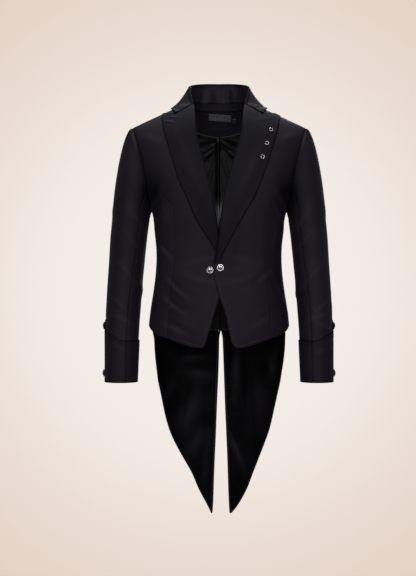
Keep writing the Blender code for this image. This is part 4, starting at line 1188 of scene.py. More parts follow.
    def build(self) -> None:
        """Builds the six panels and the stitched line along the hem and the cutaway edges."""
        lines = []
        for side in Side:
            front = self.front(side)
            for name, cloth in (("front", front), ("side", self.side_body(side)), ("back", self.back(side))):
                sew_in(cloth, f"{name}_{side.word}", self.wardrobe.twill)
            lines.append(front.line_at(Border.FIRST_LINE, self.hem_inset, start=0.10))
            lines.append(front.line_at(Border.FIRST_COLUMN, self.hem_inset, start=0.012, end=0.30))
        dress(Stitching().row("hem_stitches", lines), self.wardrobe.warm_thread)


# Tails

@dataclass
class Tails:
    """The two tails, each with its satin lining."""

    wardrobe: Wardrobe
    outline: tuple = (  # height, outer_left, outer_right, vent_left, vent_right
        (-0.5718, 0.1740, 0.1730, 0.0075, -0.0045), (-0.5910, 0.1735, 0.1695, 0.0109, -0.0014),
        (-0.6330, 0.1712, 0.1672, 0.0128, -0.0005), (-0.6980, 0.1625, 0.1603, 0.0150, 0.0015),
        (-0.7400, 0.1542, 0.1522, 0.0165, 0.0035), (-0.7820, 0.1453, 0.1440, 0.0180, 0.0052),
        (-0.8240, 0.1357, 0.1329, 0.0200, 0.0068), (-0.8660, 0.1222, 0.1165, 0.0218, 0.0085),
        (-0.9090, 0.1064, 0.0938, 0.0236, 0.0105), (-0.9510, 0.0905, 0.0705, 0.0250, 0.0122),
        (-0.9930, 0.0746, 0.0528, 0.0262, 0.0136), (-1.0350, 0.0525, 0.0312, 0.0280, 0.0150),
        (-1.0570, 0.0345, 0.0200, 0.0295, 0.0168))
    heights: tuple = (-0.5910, -0.6120, *(-0.640 - 0.02028 * i for i in range(20)), -1.0420)
    columns: int = 14
    facing: float = 0.004
    most_inset: float = 0.35  # share of a line's width
    lining_room: float = 0.030
    least_fold: float = -0.0006
    # painted highlight on the lining's fold ridges: the rise that doubles the colour, and the limits
    painted_gleam_rise: float = 0.0014
    painted_gleam_limits: tuple[float, float] = (0.5, 3.0)
    creases: tuple[Fold, ...] = ()
    satin_creases: tuple[Fold, ...] = ()

    def places(self, side: Side, inset: float) -> list[list[Place]]:
        """Lists the places of one tail; inset moves its borders inwards."""
        first, last = self.outline[0][0] - SEAM, self.outline[-1][0]
        lines = []
        for height in (first, *self.heights, last):
            outer, vent = (look_up(self.outline, height, side.column + k) for k in (0, 2))
            kept = min(max(height, last + 2.5 * inset), first - inset)
            far, near = (FORM.place(x, kept, back=True) for x in (outer, vent))
            margin = min(inset / (outer - vent), self.most_inset)
            lines.append([between(far, near, margin + (1 - 2 * margin) * s) for s in even(self.columns)])
        return lines

    def build(self) -> None:
        """Builds tails and linings."""
        for side in Side:
            tail = BodyPanels.shell(side, self.places(side, inset=0.0), size=(130, 48))
            tail.fold(tail.rise(self.creases))
            tail.sew((Border.FIRST_LINE,))
            sew_in(tail, f"tail_{side.word}", self.wardrobe.twill)
            lining = BodyPanels.shell(side, self.places(side, self.facing), size=(140, 52),
                                      out=-WALL - TAIL_LINING_CLEAR, wall=LINING_WALL)
            room = fade(np.minimum.reduce([lining.from_border(border) for border in Border]), 0.0, self.lining_room)
            lining.lift(lining.rise(self.creases))
            folds = lining.rise(self.satin_creases)
            lining.lift(-room * np.maximum(folds, self.least_fold))
            # painted highlights on the satin's fold ridges, painted shade in its troughs
            lining.tone(np.clip(1.0 + folds / self.painted_gleam_rise, *self.painted_gleam_limits))
            sew_in(lining, f"tail_lining_{side.word}", self.wardrobe.tail_satin)


# Lapels

@dataclass(frozen=True)
class Eyelet:
    """A small metal ring through the left lapel."""

    x: float
    height: float
    hole: float = 0.00275
    rim: float = 0.0061


EYELETS = (Eyelet(0.1297, -0.0600), Eyelet(0.1190, -0.0952), Eyelet(0.1074, -0.1300))


@dataclass
class Lapels:
    """Wide peaked lapels that lie on the fronts and roll over their free edges."""

    wardrobe: Wardrobe
    edge: tuple = (  # height, left, right
        (-0.3870, 0.0032, 0.0025), (-0.3747, 0.0070, 0.0060), (-0.3400, 0.0245, 0.0240), (-0.2880, 0.0530, 0.0565),
        (-0.2340, 0.0850, 0.0800), (-0.1885, 0.1046, 0.1006), (-0.1161, 0.1298, 0.1230), (-0.0546, 0.1470, 0.1395),
        (-0.0185, 0.1555, 0.1467))
    top: tuple = ((0.0630, 0.0080), (0.1105, -0.0177), (0.1310, -0.0126), (0.1400, -0.0105))
    top_stops: tuple = (0.0, 0.55, 0.78, 0.88, 1.0)
    lip: tuple = (  # inset, high, low, how far the inner face stays inside
        (0.0001, -0.0006, -0.0006, 0.0000), (0.0000, 0.0022, 0.0010, 0.0012), (0.0022, 0.0040, 0.0020, 0.0020),
        (0.0065, 0.0044, 0.0024, 0.0014))
    foot: tuple[float, float] = (0.0026, 0.0014)  # the lip's high and low at the lapel's low end
    shares: tuple = (0.0, 0.32, 0.43, 0.55, 0.68, 0.80, 0.91, 1.0)
    lowest: tuple[float, float] = (-0.3860, -0.3640)  # left, right
    clear_of_lowest: float = 0.005
    slant: float = 0.0080
    parts: int = 40
    crowding: float = 1.35
    rolled: tuple[float, float] = (0.0, 0.35)  # shares of the way up between which the roll line lifts off
    sunk: tuple[float, float] = (0.05, 0.20)  # shares of the way up between which the lip wraps the front's edge
    least_roll: float = 0.55
    most_inset: float = 0.28  # share of the way across
    narrow: float = 0.03
    roll: tuple[float, float] = (0.0012, 0.03)  # rise, reach
    least_fold: float = -0.0009
    hole_play: float = 0.0012
    tones: tuple[float, float] = (0.66, 0.59)  # painted shade over each lapel: left, right
    creases: tuple[Fold, ...] = ()

    def toward(self, a: Place, b: Place, distance: float) -> Place:
        """Gives the place at a distance from a towards b, at most a share of the way."""
        way = Vector(b) - Vector(a)
        return tuple(Vector(a) + way.normalized() * min(distance, way.length * self.most_inset))

    def flat(self, side: Side, stops: Sequence[float]) -> list[list[Place]]:
        """Lays out one lapel in the plane of X and Z, from the roll line to the outer edge."""
        lowest = side.pick(self.lowest)
        above, rolls = ([row[0] for row in table if row[0] > lowest + self.clear_of_lowest]
                        for table in (self.edge, EDGE_TABLE))
        outer = path([(look_up(self.edge, z, side.column), z) for z in [lowest] + above])
        roll = path([(front_edge(side, z), min(z, self.top[0][1] - SEAM)) for z in [lowest - self.slant] + rolls])
        high = path([(x, z - SEAM) for x, z in self.top] + [outer(1.0)], self.top_stops, smooth=False)
        return patch(straight(roll(0.0), outer(0.0)), high, roll, outer, stops, self.shares)

    def shell(self, side: Side) -> Cloth:
        """Makes one lapel's shell."""
        stops = [1 - (1 - t) ** self.crowding for t in even(self.parts)]
        outer, inner = [], []
        for t, line in zip(stops, self.flat(side, stops)):
            rolled, sink = fade(t, *self.rolled), fade(t, *self.sunk)
            near, far = line[0], line[-1]
            soft = min(1.0, (Vector(near) - Vector(far)).length / self.narrow)
            top, under = [], []
            for inset, high, low, inside in self.lip:
                full = self.least_roll + (1 - self.least_roll) * rolled
                raised = max(high, 0.0) * full + min(high, 0.0) * sink + self.foot[0] * (1 - sink)
                floor = low * sink + self.foot[1] * (1 - sink)
                for face, reach, out in ((top, inset, raised), (under, inset + inside, floor)):
                    face.append(FORM.on(side, *FORM.place(*self.toward(near, far, reach * soft)), out))
            for place in line[1:]:
                rise, reach = self.roll
                rise = LAPEL_CLEAR + rise * rolled * bell((Vector(place) - Vector(near)).length, reach)
                for face, out in ((top, rise + WALL), (under, rise)):
                    face.append(FORM.on(side, *FORM.place(*place), out))
            outer.append(top)
            inner.append(under)
        cloth = Cloth(outer, inner, size=(190, 66))
        room = fade(cloth.across, 0.008, 0.020) * fade(cloth.from_border(Border.LAST_COLUMN), 0.0, 0.004)
        cloth.fold(room * np.maximum(cloth.rise(self.creases), self.least_fold))
        # painted shade along the lapel's outer edges and over its roll, and over the whole lapel
        cloth.press((Border.LAST_COLUMN, Border.LAST_LINE), width=0.0020, share=0.90)
        cloth.press((Border.FIRST_COLUMN,), width=0.0055, share=0.75)
        cloth.tone(side.pick(self.tones))
        return cloth

    def cut_holes(self, piece: bpy.types.Object) -> None:
        """Cuts the eyelets' holes through the left lapel."""
        for eyelet in EYELETS:
            bpy.ops.mesh.primitive_cylinder_add(vertices=32, radius=eyelet.hole + self.hole_play, depth=0.012)
            cutter = bpy.context.object
            point, normal = front_spot(Side.LEFT, eyelet.x, eyelet.height, LAPEL_CLEAR + WALL / 2)
            cutter.location, cutter.rotation_euler = point, normal.to_track_quat("Z", "Y").to_euler()
            bpy.context.view_layer.objects.active = piece
            cut = piece.modifiers.new("Hole", "BOOLEAN")
            cut.operation, cut.solver, cut.object = "DIFFERENCE", "EXACT", cutter
            bpy.ops.object.modifier_apply(modifier=cut.name)
            bpy.data.objects.remove(cutter, do_unlink=True)

    def build(self) -> None:
        """Builds both lapels."""
        for side in Side:
            piece = sew_in(self.shell(side), f"lapel_{side.word}", self.wardrobe.twill)
            if side is Side.LEFT:
                self.cut_holes(piece)


# Collar

@dataclass
class CollarSet:
    """The standing collar with its fall, and its band."""

    wardrobe: Wardrobe
    panels: BodyPanels
    stations: tuple = (  # roll line, outer edge of the fall, sag
        ((0.0000, 0.0900, 0.0790), (0.0000, 0.1050, -0.0060), 0.000),
        ((0.0240, 0.0880, 0.0790), (0.0320, 0.1030, -0.0060), 0.000),
        ((0.0450, 0.0800, 0.0772), (0.0640, 0.0950, -0.0050), 0.001),
        ((0.0620, 0.0640, 0.0730), (0.0900, 0.0780, -0.0025), 0.002),
        ((0.0710, 0.0400, 0.0672), (0.1110, 0.0500, 0.0015), 0.004),
        ((0.0745, 0.0140, 0.0585), (0.1225, 0.0140, 0.0050), 0.005),
        ((0.0725, -0.0080, 0.0410), (0.1235, -0.0060, 0.0040), 0.005),
        ((0.0680, -0.0250, 0.0240), (0.1170, -0.0230, -0.0045), 0.003),
        ((0.0642, -0.0395, 0.0094), (0.1110, -0.0390, -0.0160), 0.000))
    front_foot: tuple = ((0.0775, -0.0030, 0.0200), (0.0705, -0.0165, 0.0150), (0.0648, -0.0335, 0.0052))
    wall: float = 0.0020
    fold_radius: float = 0.0028
    band_share: float = 0.32
    band_ends: float = 6.0
    band_tapers: float = 0.8  # parts past its end over which the band's width would run out
    stand_top: float = 0.78
    crown: tuple[float, float] = (-0.0005, 0.0010)  # rise at the roll line and over the fold
    fall_clear: tuple[float, float] = (0.0006, 0.0018)  # everywhere, and more of it behind the front ends
    front_ends: tuple[float, float] = (6.5, 8.0)
    neck_parts: int = 5
    foot_clear: float = 0.0008
    seam_depth: float = 0.0005
    thread_out: float = 0.52  # share of the wall
    # painted shade over the whole collar and over its band
    tone: float = 0.76
    band_shade: float = 0.47
    creases: tuple[Fold, ...] = ()

    def foot(self, i: float) -> Vector:
        """Gives the collar's foot at a station, just above the neckline."""
        low = int(min(i, self.neck_parts + len(self.front_foot) - 1))
        return self._foot(low).lerp(self._foot(low + 1), i - low)

    def _foot(self, number: int) -> Vector:
        """Gives the collar's foot at a whole station."""
        if number > self.neck_parts:
            return Vector(self.front_foot[number - self.neck_parts - 1])
        place = self.panels.neckline(1 - number / self.neck_parts)
        return FORM.on(Side.LEFT, *place) + Vector((0.0, 0.0, SEAM + self.foot_clear))

    def line(self, i: float) -> list[Vector]:
        """Gives the collar's section at a station: up the stand, over the fold and down the fall."""
        roll, edge = (Vector(along([row[k] for row in self.stations], i)) for k in (0, 1))
        sag = along([row[2:] for row in self.stations], i)[0]
        foot, top = self.foot(i), self.stand_top
        band = self.band_share * (1 - fade(i, self.neck_parts - 1, self.band_ends + self.band_tapers))
        stand = [foot.lerp(roll, t) for t in (0.0, band / 2, band, (band + top) / 2, top)]
        out = edge - roll
        aside = Vector((out.x, out.y, 0.0)).normalized() * self.fold_radius
        over = roll + 2 * aside + Vector((0.0, 0.0, -self.fold_radius))
        fall = []
        for t in even(4):
            point = over.lerp(edge, t) - Vector((0.0, 0.0, sag * 4 * t * (1 - t)))
            if i > self.neck_parts:
                clear = self.fall_clear[0] + self.fall_clear[1] * (1 - fade(i, *self.front_ends))
                cloth = FORM.on(Side.LEFT, *FORM.place(point.x, point.z), LAPEL_CLEAR + self.wall / 2 + clear)
                point = cloth if point.y > cloth.y else point
            fall.append(point)
        near, far = (Vector((0.0, 0.0, rise)) for rise in self.crown)
        return stand + [roll + near, roll + aside + far] + fall

    @staticmethod
    def from_roll(cloth: Cloth) -> np.ndarray:
        """Gives each point's distance from the top of the collar's fold, across the collar."""
        tops = cloth.outer[np.arange(len(cloth.outer)), cloth.height.argmax(axis=1)]
        return np.linalg.norm(cloth.outer - tops[:, None], axis=-1)

    def build(self) -> None:
        """Builds collar and band, with the stitched line above the seam between them."""
        stops = [i / 2 for i in range(2 * len(self.stations) - 1)]
        left = [self.line(i) for i in stops]
        grid = [[Side.RIGHT.mirror(point) for point in line] for line in reversed(left[1:])] + left
        kept = sum(i > self.band_ends for i in stops)
        band = [[line[0], line[1], line[2] + (line[1] - line[2]).normalized() * SEAM] for line in grid[kept:-kept]]
        collar = Cloth.about([line[2:] for line in grid], self.wall, size=(200, 56))
        collar.fold(fade(self.from_roll(collar), 0.003, 0.016) * collar.rise(self.creases))
        collar.sew((Border.FIRST_COLUMN,), self.seam_depth)
        # painted shade along the collar's edges, over its fold and over the whole collar
        collar.press((Border.FIRST_LINE, Border.LAST_LINE, Border.LAST_COLUMN), width=0.0026, share=0.90)
        collar.darken(self.from_roll(collar), width=0.0055, share=0.75)
        collar.tone(self.tone)
        sew_in(collar, "collar", self.wardrobe.twill)
        strip = Cloth.about(band, self.wall, size=(160, 12))
        strip.sew((Border.LAST_COLUMN,), self.seam_depth)
        # painted shade over the band
        strip.tone(self.band_shade)
        sew_in(strip, "collar_band", self.wardrobe.twill)
        points, normals = collar.line_at(Border.FIRST_COLUMN, inset=0.0018, start=0.18, end=0.82)
        inside = -normals if float(normals[len(normals) // 2, 1]) > 0.0 else normals
        row = Stitching().row("collar_stitches", [(points + inside * self.wall * self.thread_out, inside)])
        dress(row, self.wardrobe.warm_thread)


# Inside of the back

@dataclass
class Inside:
    """Back lining with its pleat, neck facing, bare label and bare size tab."""

    wardrobe: Wardrobe
    panels: BodyPanels
    columns: tuple = (0.0, 0.06, 0.12, 0.18, 0.24, 0.30, 0.36, 0.41, 0.45, 0.47, 0.48, 0.49, 0.495, 0.50, 0.505, 0.51,
                      0.52, 0.53, 0.55, 0.59, 0.64, 0.70, 0.76, 0.82, 0.88, 0.94, 1.0)
    half_widths: tuple[float, float] = (0.135, 0.100)  # at the hem and at the neck
    hem: float = -0.5680
    low: float = -0.0535
    ends: float = -0.024
    pleat_x: float = 0.0004
    pleat_rise: float = 0.0042
    pleat_sides: tuple[float, float] = (0.0070, 0.0018)  # width on the wearer's right and left
    pleat_edge: float = 0.0026
    least_fold: float = -0.0012
    glow: float = 62.0  # painted light low in the neck opening, as a gain on the lining's own colour
    glow_height: float = -0.268
    glow_size: tuple[float, float] = (0.020, 0.024)
    facing_reach: float = 0.9  # share of the neckline, from the nape to the shoulder seam
    facing_drop: float = 0.02  # in rows
    label_turn: float = radians(-3.5)
    label_wall: float = 0.0008
    tab_tone: float = 3.5
    creases: tuple[Fold, ...] = ()
    facing_creases: tuple[Fold, ...] = ()

    @staticmethod
    def across(widths: Place, low: Place, high: Place, ups: Iterable[float],
               acrosses: Iterable[float]) -> list[list[Place]]:
        """Lays out cloth over the back.

        Args:
            widths: Half its width along its low and its high border.
            low: Height of the low border, in the middle and at the ends.
            high: Height of the high border, in the middle and at the ends.
            ups: Shares of the way up.
            acrosses: Shares of the way across.

        Returns:
            A line of places for each share of the way up.
        """
        lines = []
        for t in ups:
            line = []
            for u in (2 * s - 1 for s in acrosses):
                foot, head = (ends[0] + (ends[1] - ends[0]) * u * u for ends in (low, high))
                line.append(FORM.place(((1 - t) * widths[0] + t * widths[1]) * u, foot + (head - foot) * t, back=True))
            lines.append(line)
        return lines

    def lining(self) -> Cloth:
        """Makes the back lining, with a soft pleat down its middle, folds that fan out from the neck, painted shade
        along the pleat and painted light low in the neck opening.
        """
        top = (self.low - 2 * SEAM, self.ends - 2 * SEAM)
        places = self.across(self.half_widths, (self.hem, self.hem), top, even(30), self.columns)
        cloth = BodyPanels.shell(Side.LEFT, places, size=(150, 130), out=-WALL - LINING_CLEAR, wall=LINING_WALL)
        room = fade(cloth.from_border(Border.LAST_LINE), 0.0, 0.020) * fade(cloth.up, 0.0, 0.04)
        aside = cloth.x - self.pleat_x
        pleat = bell(aside, np.where(aside < 0.0, *self.pleat_sides)) * fade(cloth.height, -0.36, -0.26)
        cloth.lift(-room * np.maximum(self.pleat_rise * pleat + cloth.rise(self.creases), self.least_fold))
        # painted shade along the pleat's edge
        cloth.darken(aside - self.pleat_edge, width=0.0016, share=0.85)
        wide, tall = self.glow_size
        # painted light: a pale patch low in the neck opening
        cloth.tone(1.0 + self.glow * bell(cloth.x, wide) * bell(cloth.height - self.glow_height, tall))
        return cloth

    def facing(self) -> Cloth:
        """Makes the facing between the lining and the neck."""
        ends, width = (self.low, self.ends), self.half_widths[1]
        low = self.across((width, width), ends, ends, [0.0], self.columns)[0]
        high = []
        for s in self.columns:
            angle, row = self.panels.neckline(1 - abs(2 * s - 1) * self.facing_reach)
            high.append((angle if s >= 0.5 else 2 * pi - angle, row - self.facing_drop))
        places = [[between(a, b, t) for a, b in zip(low, high)] for t in even(8)]
        cloth = BodyPanels.shell(Side.LEFT, places, size=(50, 100), out=-WALL - LINING_CLEAR, wall=LINING_WALL)
        cloth.lift(-np.maximum(cloth.rise(self.facing_creases), 0.0) * fade(cloth.up, 0.0, 0.006)
                   * fade(cloth.from_border(Border.LAST_LINE), 0.0, 0.012))
        return cloth

    def ribbon(self, centre: Place, size: Place) -> Cloth:
        """Makes a small flat piece inside the back of the neck."""
        across, up = cos(self.label_turn), sin(self.label_turn)
        places = [[FORM.place(centre[0] + right * across - rise * up, centre[1] + right * up + rise * across, back=True)
                   for right in ((s - 0.5) * size[0] for s in even(8))]
                  for rise in ((t - 0.5) * size[1] for t in even(4))]
        out = -WALL - LINING_CLEAR - LINING_WALL - LABEL_CLEAR
        return BodyPanels.shell(Side.LEFT, places, size=(18, 40), out=out, wall=self.label_wall)

    @staticmethod
    def behind(cloth: Cloth, border: Border, inset: float, margin: float = 0.02) -> Line:
        """Finds a line on the side of the cloth that faces into the coat, a margin short of the corners."""
        points, normals = cloth.line_at(border, inset, margin, 1.0 - margin)
        wall = float(np.linalg.norm(cloth.outer - cloth.inner, axis=-1).mean())
        return points - normals * wall, -normals

    def build(self) -> None:
        """Builds the pieces and their stitches."""
        lining, facing = self.lining(), self.facing()
        sew_in(lining, "back_lining", self.wardrobe.satin)
        sew_in(facing, "neck_facing", self.wardrobe.twill)
        label = self.ribbon((0.0033, -0.0058), (0.060, 0.0165))
        tab = self.ribbon((0.0412, -0.0140), (0.0105, 0.0130))
        sew_in(label, "label", self.wardrobe.label)
        tab.tone(self.tab_tone)
        sew_in(tab, "size_tab", self.wardrobe.satin)
        coarse, fine = Stitching(), Stitching(length=0.0018, pitch=0.0030, radius=0.0002)
        for stitching, name, lines, thread in (
                (fine, "label", [self.behind(label, border, 0.0014) for border in Border], self.wardrobe.label_thread),
                (fine, "tab", [self.behind(tab, Border.LAST_LINE, 0.0016, margin=0.1)], self.wardrobe.tab_thread),
                (coarse, "facing", [self.behind(facing, Border.FIRST_LINE, 0.0022)], self.wardrobe.thread)):
            dress(stitching.row(f"{name}_stitches", lines), thread)


# Sleeves

@dataclass(frozen=True)
class ArmFold:
    """A crease across a sleeve, by height and by its turn round the arm."""

    side: Side
    height: float
    turn: float
    half_turn: float
    width: float
    rise: float
    slant: float = 0.0003

    @classmethod
    def table(cls, side: Side, *rows: tuple[float, ...]) -> tuple[ArmFold, ...]:
        """Reads folds from rows of height, turn, half turn, width, rise and slant, in degrees and millimetres."""
        return tuple(cls(side, height * MILLIMETRE, turn, half_turn, *(size * MILLIMETRE for size in rest))
                     for height, turn, half_turn, *rest in rows)

    def lift(self, turn: Numbers, height: Numbers) -> Numbers:
        """Gives how far the crease lifts the cloth at a turn in degrees and a height."""
        off = (turn - self.turn + 180.0) % 360.0 - 180.0
        return self.rise * bell(off, self.half_turn) * bell(height - self.height + off * self.slant, self.width)


@dataclass
class Sleeves:
    """Two-piece sleeves with deep turned cuffs."""

    wardrobe: Wardrobe
    arm: tuple = (  # height, x, y, half_width, half_depth
        (-0.280, 0.2266, 0.006, 0.0482, 0.070), (-0.330, 0.2324, 0.008, 0.0473, 0.068),
        (-0.385, 0.2370, 0.010, 0.0461, 0.064), (-0.445, 0.2418, 0.008, 0.0452, 0.060),
        (-0.505, 0.2454, 0.002, 0.0446, 0.056), (-0.565, 0.2478, -0.006, 0.0430, 0.052),
        (-0.630, 0.2488, -0.014, 0.0413, 0.049), (-0.696, 0.2498, -0.022, 0.0398, 0.047))
    seams: tuple = (  # height, front, back
        (-0.280, 125.0, 238.0), (-0.385, 121.0, 236.0), (-0.477, 113.0, 234.0), (-0.580, 110.5, 232.0),
        (-0.696, 109.0, 231.0))
    ring: int = 24
    seam_parts: tuple[int, int] = (8, 16)  # of the ring, along the front and the back seam
    cuff_top: tuple = (  # angle, height
        (-180.0, -0.590), (-100.0, -0.590), (-50.0, -0.572), (-12.0, -0.538), (13.0, -0.565), (58.0, -0.577),
        (94.0, -0.590), (180.0, -0.590))
    folds: tuple[ArmFold, ...] = ArmFold.table(
        Side.LEFT, (-455, 155, 35, 12, 2.8), (-520, 40, 30, 11, 2.2), (-550, 60, 26, 15, 1.8),
        (-240, 112, 25, 12, 2.2)) + ArmFold.table(
        Side.RIGHT, (-455, 155, 35, 12, 2.8), (-530, 45, 30, 11, 2), (-240, 112, 25, 12, 2.2))
    creases: tuple[ArmFold, ...] = ()
    ends: float = -0.6935
    part_width: float = 0.013
    head_clear: float = SEAM + 0.0009
    head_roll: tuple[float, float, float] = (0.0004, 0.010, 0.0050)  # rise, distance from the armhole, width
    # painted shade over the sleeve's head
    head_shade: float = 0.80
    head_tones: tuple[float, float] = (0.16, 0.34)  # how far down the painted shade starts to fade, and where it ends
    cuff_height: float = -0.6
    cuff_ends: float = -0.6960
    cuff_clear: float = 0.0010
    cuff_seam: float = 110.0
    # painted shade over the whole cuff
    cuff_tone: float = 0.86
    cuff_radius: float = 0.046
    cuff_rows: tuple[float, float] = (0.0030, 0.0085)
    row_groove: tuple[float, float] = (0.00035, 0.0016)  # depth, width
    seam_groove: tuple[float, float] = (0.0005, 0.0030)  # depth, width
    tuck: float = 0.0034
    tuck_depth: float = 0.0016
    tuck_reach: float = 0.0034

    def oval(self, turn: float, height: float) -> Vector:
        """Gives a point of the arm's tube: turn 0 is the outer side, 90 degrees the front."""
        x, y, half_width, half_depth = (look_up(self.arm, height, column) for column in (1, 2, 3, 4))
        return Vector((x + half_width * cos(turn), y - half_depth * sin(turn), height))

    def seam_turn(self, height: float, part: float) -> float:
        """Gives the turn of a part of the ring, so that the seams keep their parts all the way down."""
        front, back = (look_up(self.seams, height, column) for column in (1, 2))
        return radians(float(np.interp(part, (0, *self.seam_parts, self.ring), (0.0, front, back, 360.0))))

    def point(self, part: float, down: float) -> Vector:
        """Gives a point of the outer face; down is 0 at the armhole, 1 below the sleeve's head and 2 at the wrist."""
        first, last = self.arm[0][0], self.arm[-1][0]
        if down >= 1.0:
            height = first + (last - first) * (down - 1.0)
            return self.oval(self.seam_turn(height, part), height)
        turn, t = ARMHOLE.turn(part), down
        start = FORM.on(Side.LEFT, *ARMHOLE.place(turn)) + Vector((self.head_clear, 0.0, 0.0))
        end = self.oval(turn, first)
        reach = (end - start).length
        below = (1 - cos(turn)) / 2
        leave = Vector((0.34 - 0.06 * below, -0.30 * sin(turn), -0.10 - 0.40 * below)) * reach
        arrive = Vector((0.03, 0.0, -0.85 + 0.1 * below)) * reach
        return (start * (2 * t ** 3 - 3 * t * t + 1) + leave * (t ** 3 - 2 * t * t + t)
                + end * (3 * t * t - 2 * t ** 3) + arrive * (t ** 3 - t * t))

    def skin(self, side: Side, part: float, down: float, outs: Sequence[float]) -> list[Vector]:
        """Gives points at several distances from the sleeve's outer face, along its normal."""
        here, beside, beyond = self.point(part, down), 0.2, 0.02
        around = (self.point(part + beside if part < self.ring - beside else part, down)
                  - self.point(part - beside if part > beside else part, down))
        down_arm = self.point(part, min(down + beyond, 2.0)) - self.point(part, max(down - beyond, 0.0))
        normal = around.cross(down_arm).normalized()
        rise = 0.0
        if down > 1.0:
            turn = degrees(self.seam_turn(here.z, part))
            rise = sum(float(fold.lift(turn, here.z)) for fold in self.folds if fold.side is side)
        return [side.mirror(here + normal * (out + rise)) for out in outs]

    def down_at(self, height: float) -> float:
        """Finds where the tube has a height."""
        first, last = self.arm[0][0], self.arm[-1][0]
        return 1.0 + (height - first) / (last - first)

    def turns(self, cloth: Cloth, side: Side) -> np.ndarray:
        """Gives each point's turn round the arm, in degrees."""
        rows = np.array(self.arm)[::-1]
        x, y, wide, deep = (np.interp(cloth.height, rows[:, 0], rows[:, k]) for k in (1, 2, 3, 4))
        return np.degrees(np.arctan2(-(cloth.outer[..., 1] - y) / deep, (side.value * cloth.x - x) / wide))

    def cloth(self, grid: list, side: Side, size: tuple[int, int], room: tuple[float, float],
              ring: bool = False) -> Cloth:
        """Makes a shell with its fine creases.

        Args:
            grid: Pairs of points on its outer and its inner face.
            side: The wearer's side.
            size: Lines and columns of the fine grid.
            room: How far up the creases start, and have their full depth.
            ring: Whether the last column runs on into the first.

        Returns:
            The shell.
        """
        cloth = Cloth(*np.moveaxis(np.array(grid, dtype=float), 2, 0), size, ring)
        turn = self.turns(cloth, side)
        below = fade(-cloth.height, 0.16, 0.22)
        rise = sum(fold.lift(turn, cloth.height) for fold in self.creases if fold.side is side)
        cloth.fold(fade(cloth.up, *room) * below * rise)
        return cloth

    def panel(self, side: Side, start: int, end: int) -> Cloth:
        """Makes one of a sleeve's two panels, between parts of its ring."""
        stops = [t * 0.1 for t in range(10)] + [1.0 + t * (self.down_at(self.ends) - 1.0) for t in even(24)]
        gap = SEAM / 2 / self.part_width
        parts = [start + gap, *(start + i / 2 for i in range(1, 2 * (end - start))), end - gap]
        grid = [[self.skin(side, part % self.ring, stop, (0.0, -WALL)) for part in parts] for stop in stops]
        cloth = self.cloth(grid, side, size=(200, 4 * (end - start)), room=(0.010, 0.030))
        cloth.sew((Border.FIRST_COLUMN, Border.LAST_COLUMN))
        # painted shade round the armpit, near the armhole and over the sleeve's head
        cloth.shadow(side)
        cloth.press((Border.FIRST_LINE,), width=0.024, share=0.40)
        cloth.tone(self.head_shade + (1 - self.head_shade) * fade(-cloth.height, *self.head_tones))
        rise, at, width = self.head_roll
        cloth.lift(rise * bell(cloth.up - at, width))
        tuck = 1.0 - fade(cloth.up, 0.0, self.tuck_reach)
        aside = tuck[..., None] * (-side.value * self.tuck, 0.0, 0.0)
        cloth.outer, cloth.inner = cloth.outer + aside, cloth.inner + aside
        cloth.lift(-self.tuck_depth * tuck)
        # painted shade along the armhole
        cloth.press((Border.FIRST_LINE,), width=0.0036, share=0.50)
        return cloth

    def cuff(self, side: Side) -> Cloth:
        """Makes the deep turned cuff, cut up to a point on its outer side."""
        parts = [half / 2 for half in range(2 * self.ring)]
        angles = [(degrees(self.seam_turn(self.cuff_height, part)) + 180.0) % 360.0 - 180.0 for part in parts]
        tops = [look_up(self.cuff_top, angle, 1) for angle in angles]
        grid = [[self.skin(side, part, self.down_at(self.cuff_ends + (top - self.cuff_ends) * t),
                           (self.cuff_clear + WALL, self.cuff_clear)) for part, top in zip(parts, tops)]
                for t in even(12)]
        cloth = self.cloth(grid, side, size=(56, 130), room=(0.02, 0.06), ring=True)
        # painted shade in the stitched grooves, along the cuff's edges and its seam, and over the whole cuff
        for inset in self.cuff_rows:
            off = cloth.from_border(Border.LAST_LINE) - inset
            depth, width = self.row_groove
            cloth.lift(-depth * bell(off, width))
            cloth.darken(off, width=0.0014, share=0.45)
        cloth.press((Border.LAST_LINE,), width=0.0016, share=0.85)
        seam = np.radians(self.turns(cloth, side) - self.cuff_seam) * self.cuff_radius
        depth, width = self.seam_groove
        cloth.lift(-depth * bell(seam, width) * fade(cloth.up, 0.0, 0.004))
        cloth.darken(seam, width=0.0024, share=0.45)
        cloth.press((Border.FIRST_LINE,), width=0.0030, share=0.55)
        cloth.tone(self.cuff_tone)
        return cloth

    def build(self) -> None:
        """Builds sleeves and cuffs, with two stitched lines round the top of each cuff."""
        front, back = self.seam_parts
        rows = []
        for side in Side:
            sew_in(self.panel(side, back, front + self.ring), f"top_sleeve_{side.word}", self.wardrobe.twill)
            sew_in(self.panel(side, front, back), f"under_sleeve_{side.word}", self.wardrobe.twill)
            cuff = self.cuff(side)
            sew_in(cuff, f"cuff_{side.word}", self.wardrobe.twill)
            rows += [cuff.line_at(Border.LAST_LINE, inset) for inset in self.cuff_rows]
        dress(Stitching().row("cuff_stitches", rows), self.wardrobe.thread)


# Buttons and eyelets

def ring_of(vertices: int, radius: float, fill: str) -> bpy.types.Object:
    """Adds a circle and opens it in edit mode with everything selected."""
    bpy.ops.mesh.primitive_circle_add(vertices=vertices, radius=radius, fill_type=fill)
    piece = bpy.context.object
    bpy.ops.object.mode_set(mode="EDIT")
    bpy.ops.mesh.select_all(action="SELECT")
    return piece


def grow(steps: Iterable[tuple[float, float]], radius: float) -> None:
    """Extrudes the selected outline of a round piece through rings of (radius, height)."""
    at_height = 0.0
    for wide, height in steps:
        bpy.ops.mesh.extrude_region_move(TRANSFORM_OT_translate={"value": (0.0, 0.0, height - at_height)})
        scale = wide / radius
        bpy.ops.transform.resize(value=(scale, scale, 1.0), center_override=(0.0, 0.0, height))
        radius, at_height = wide, height


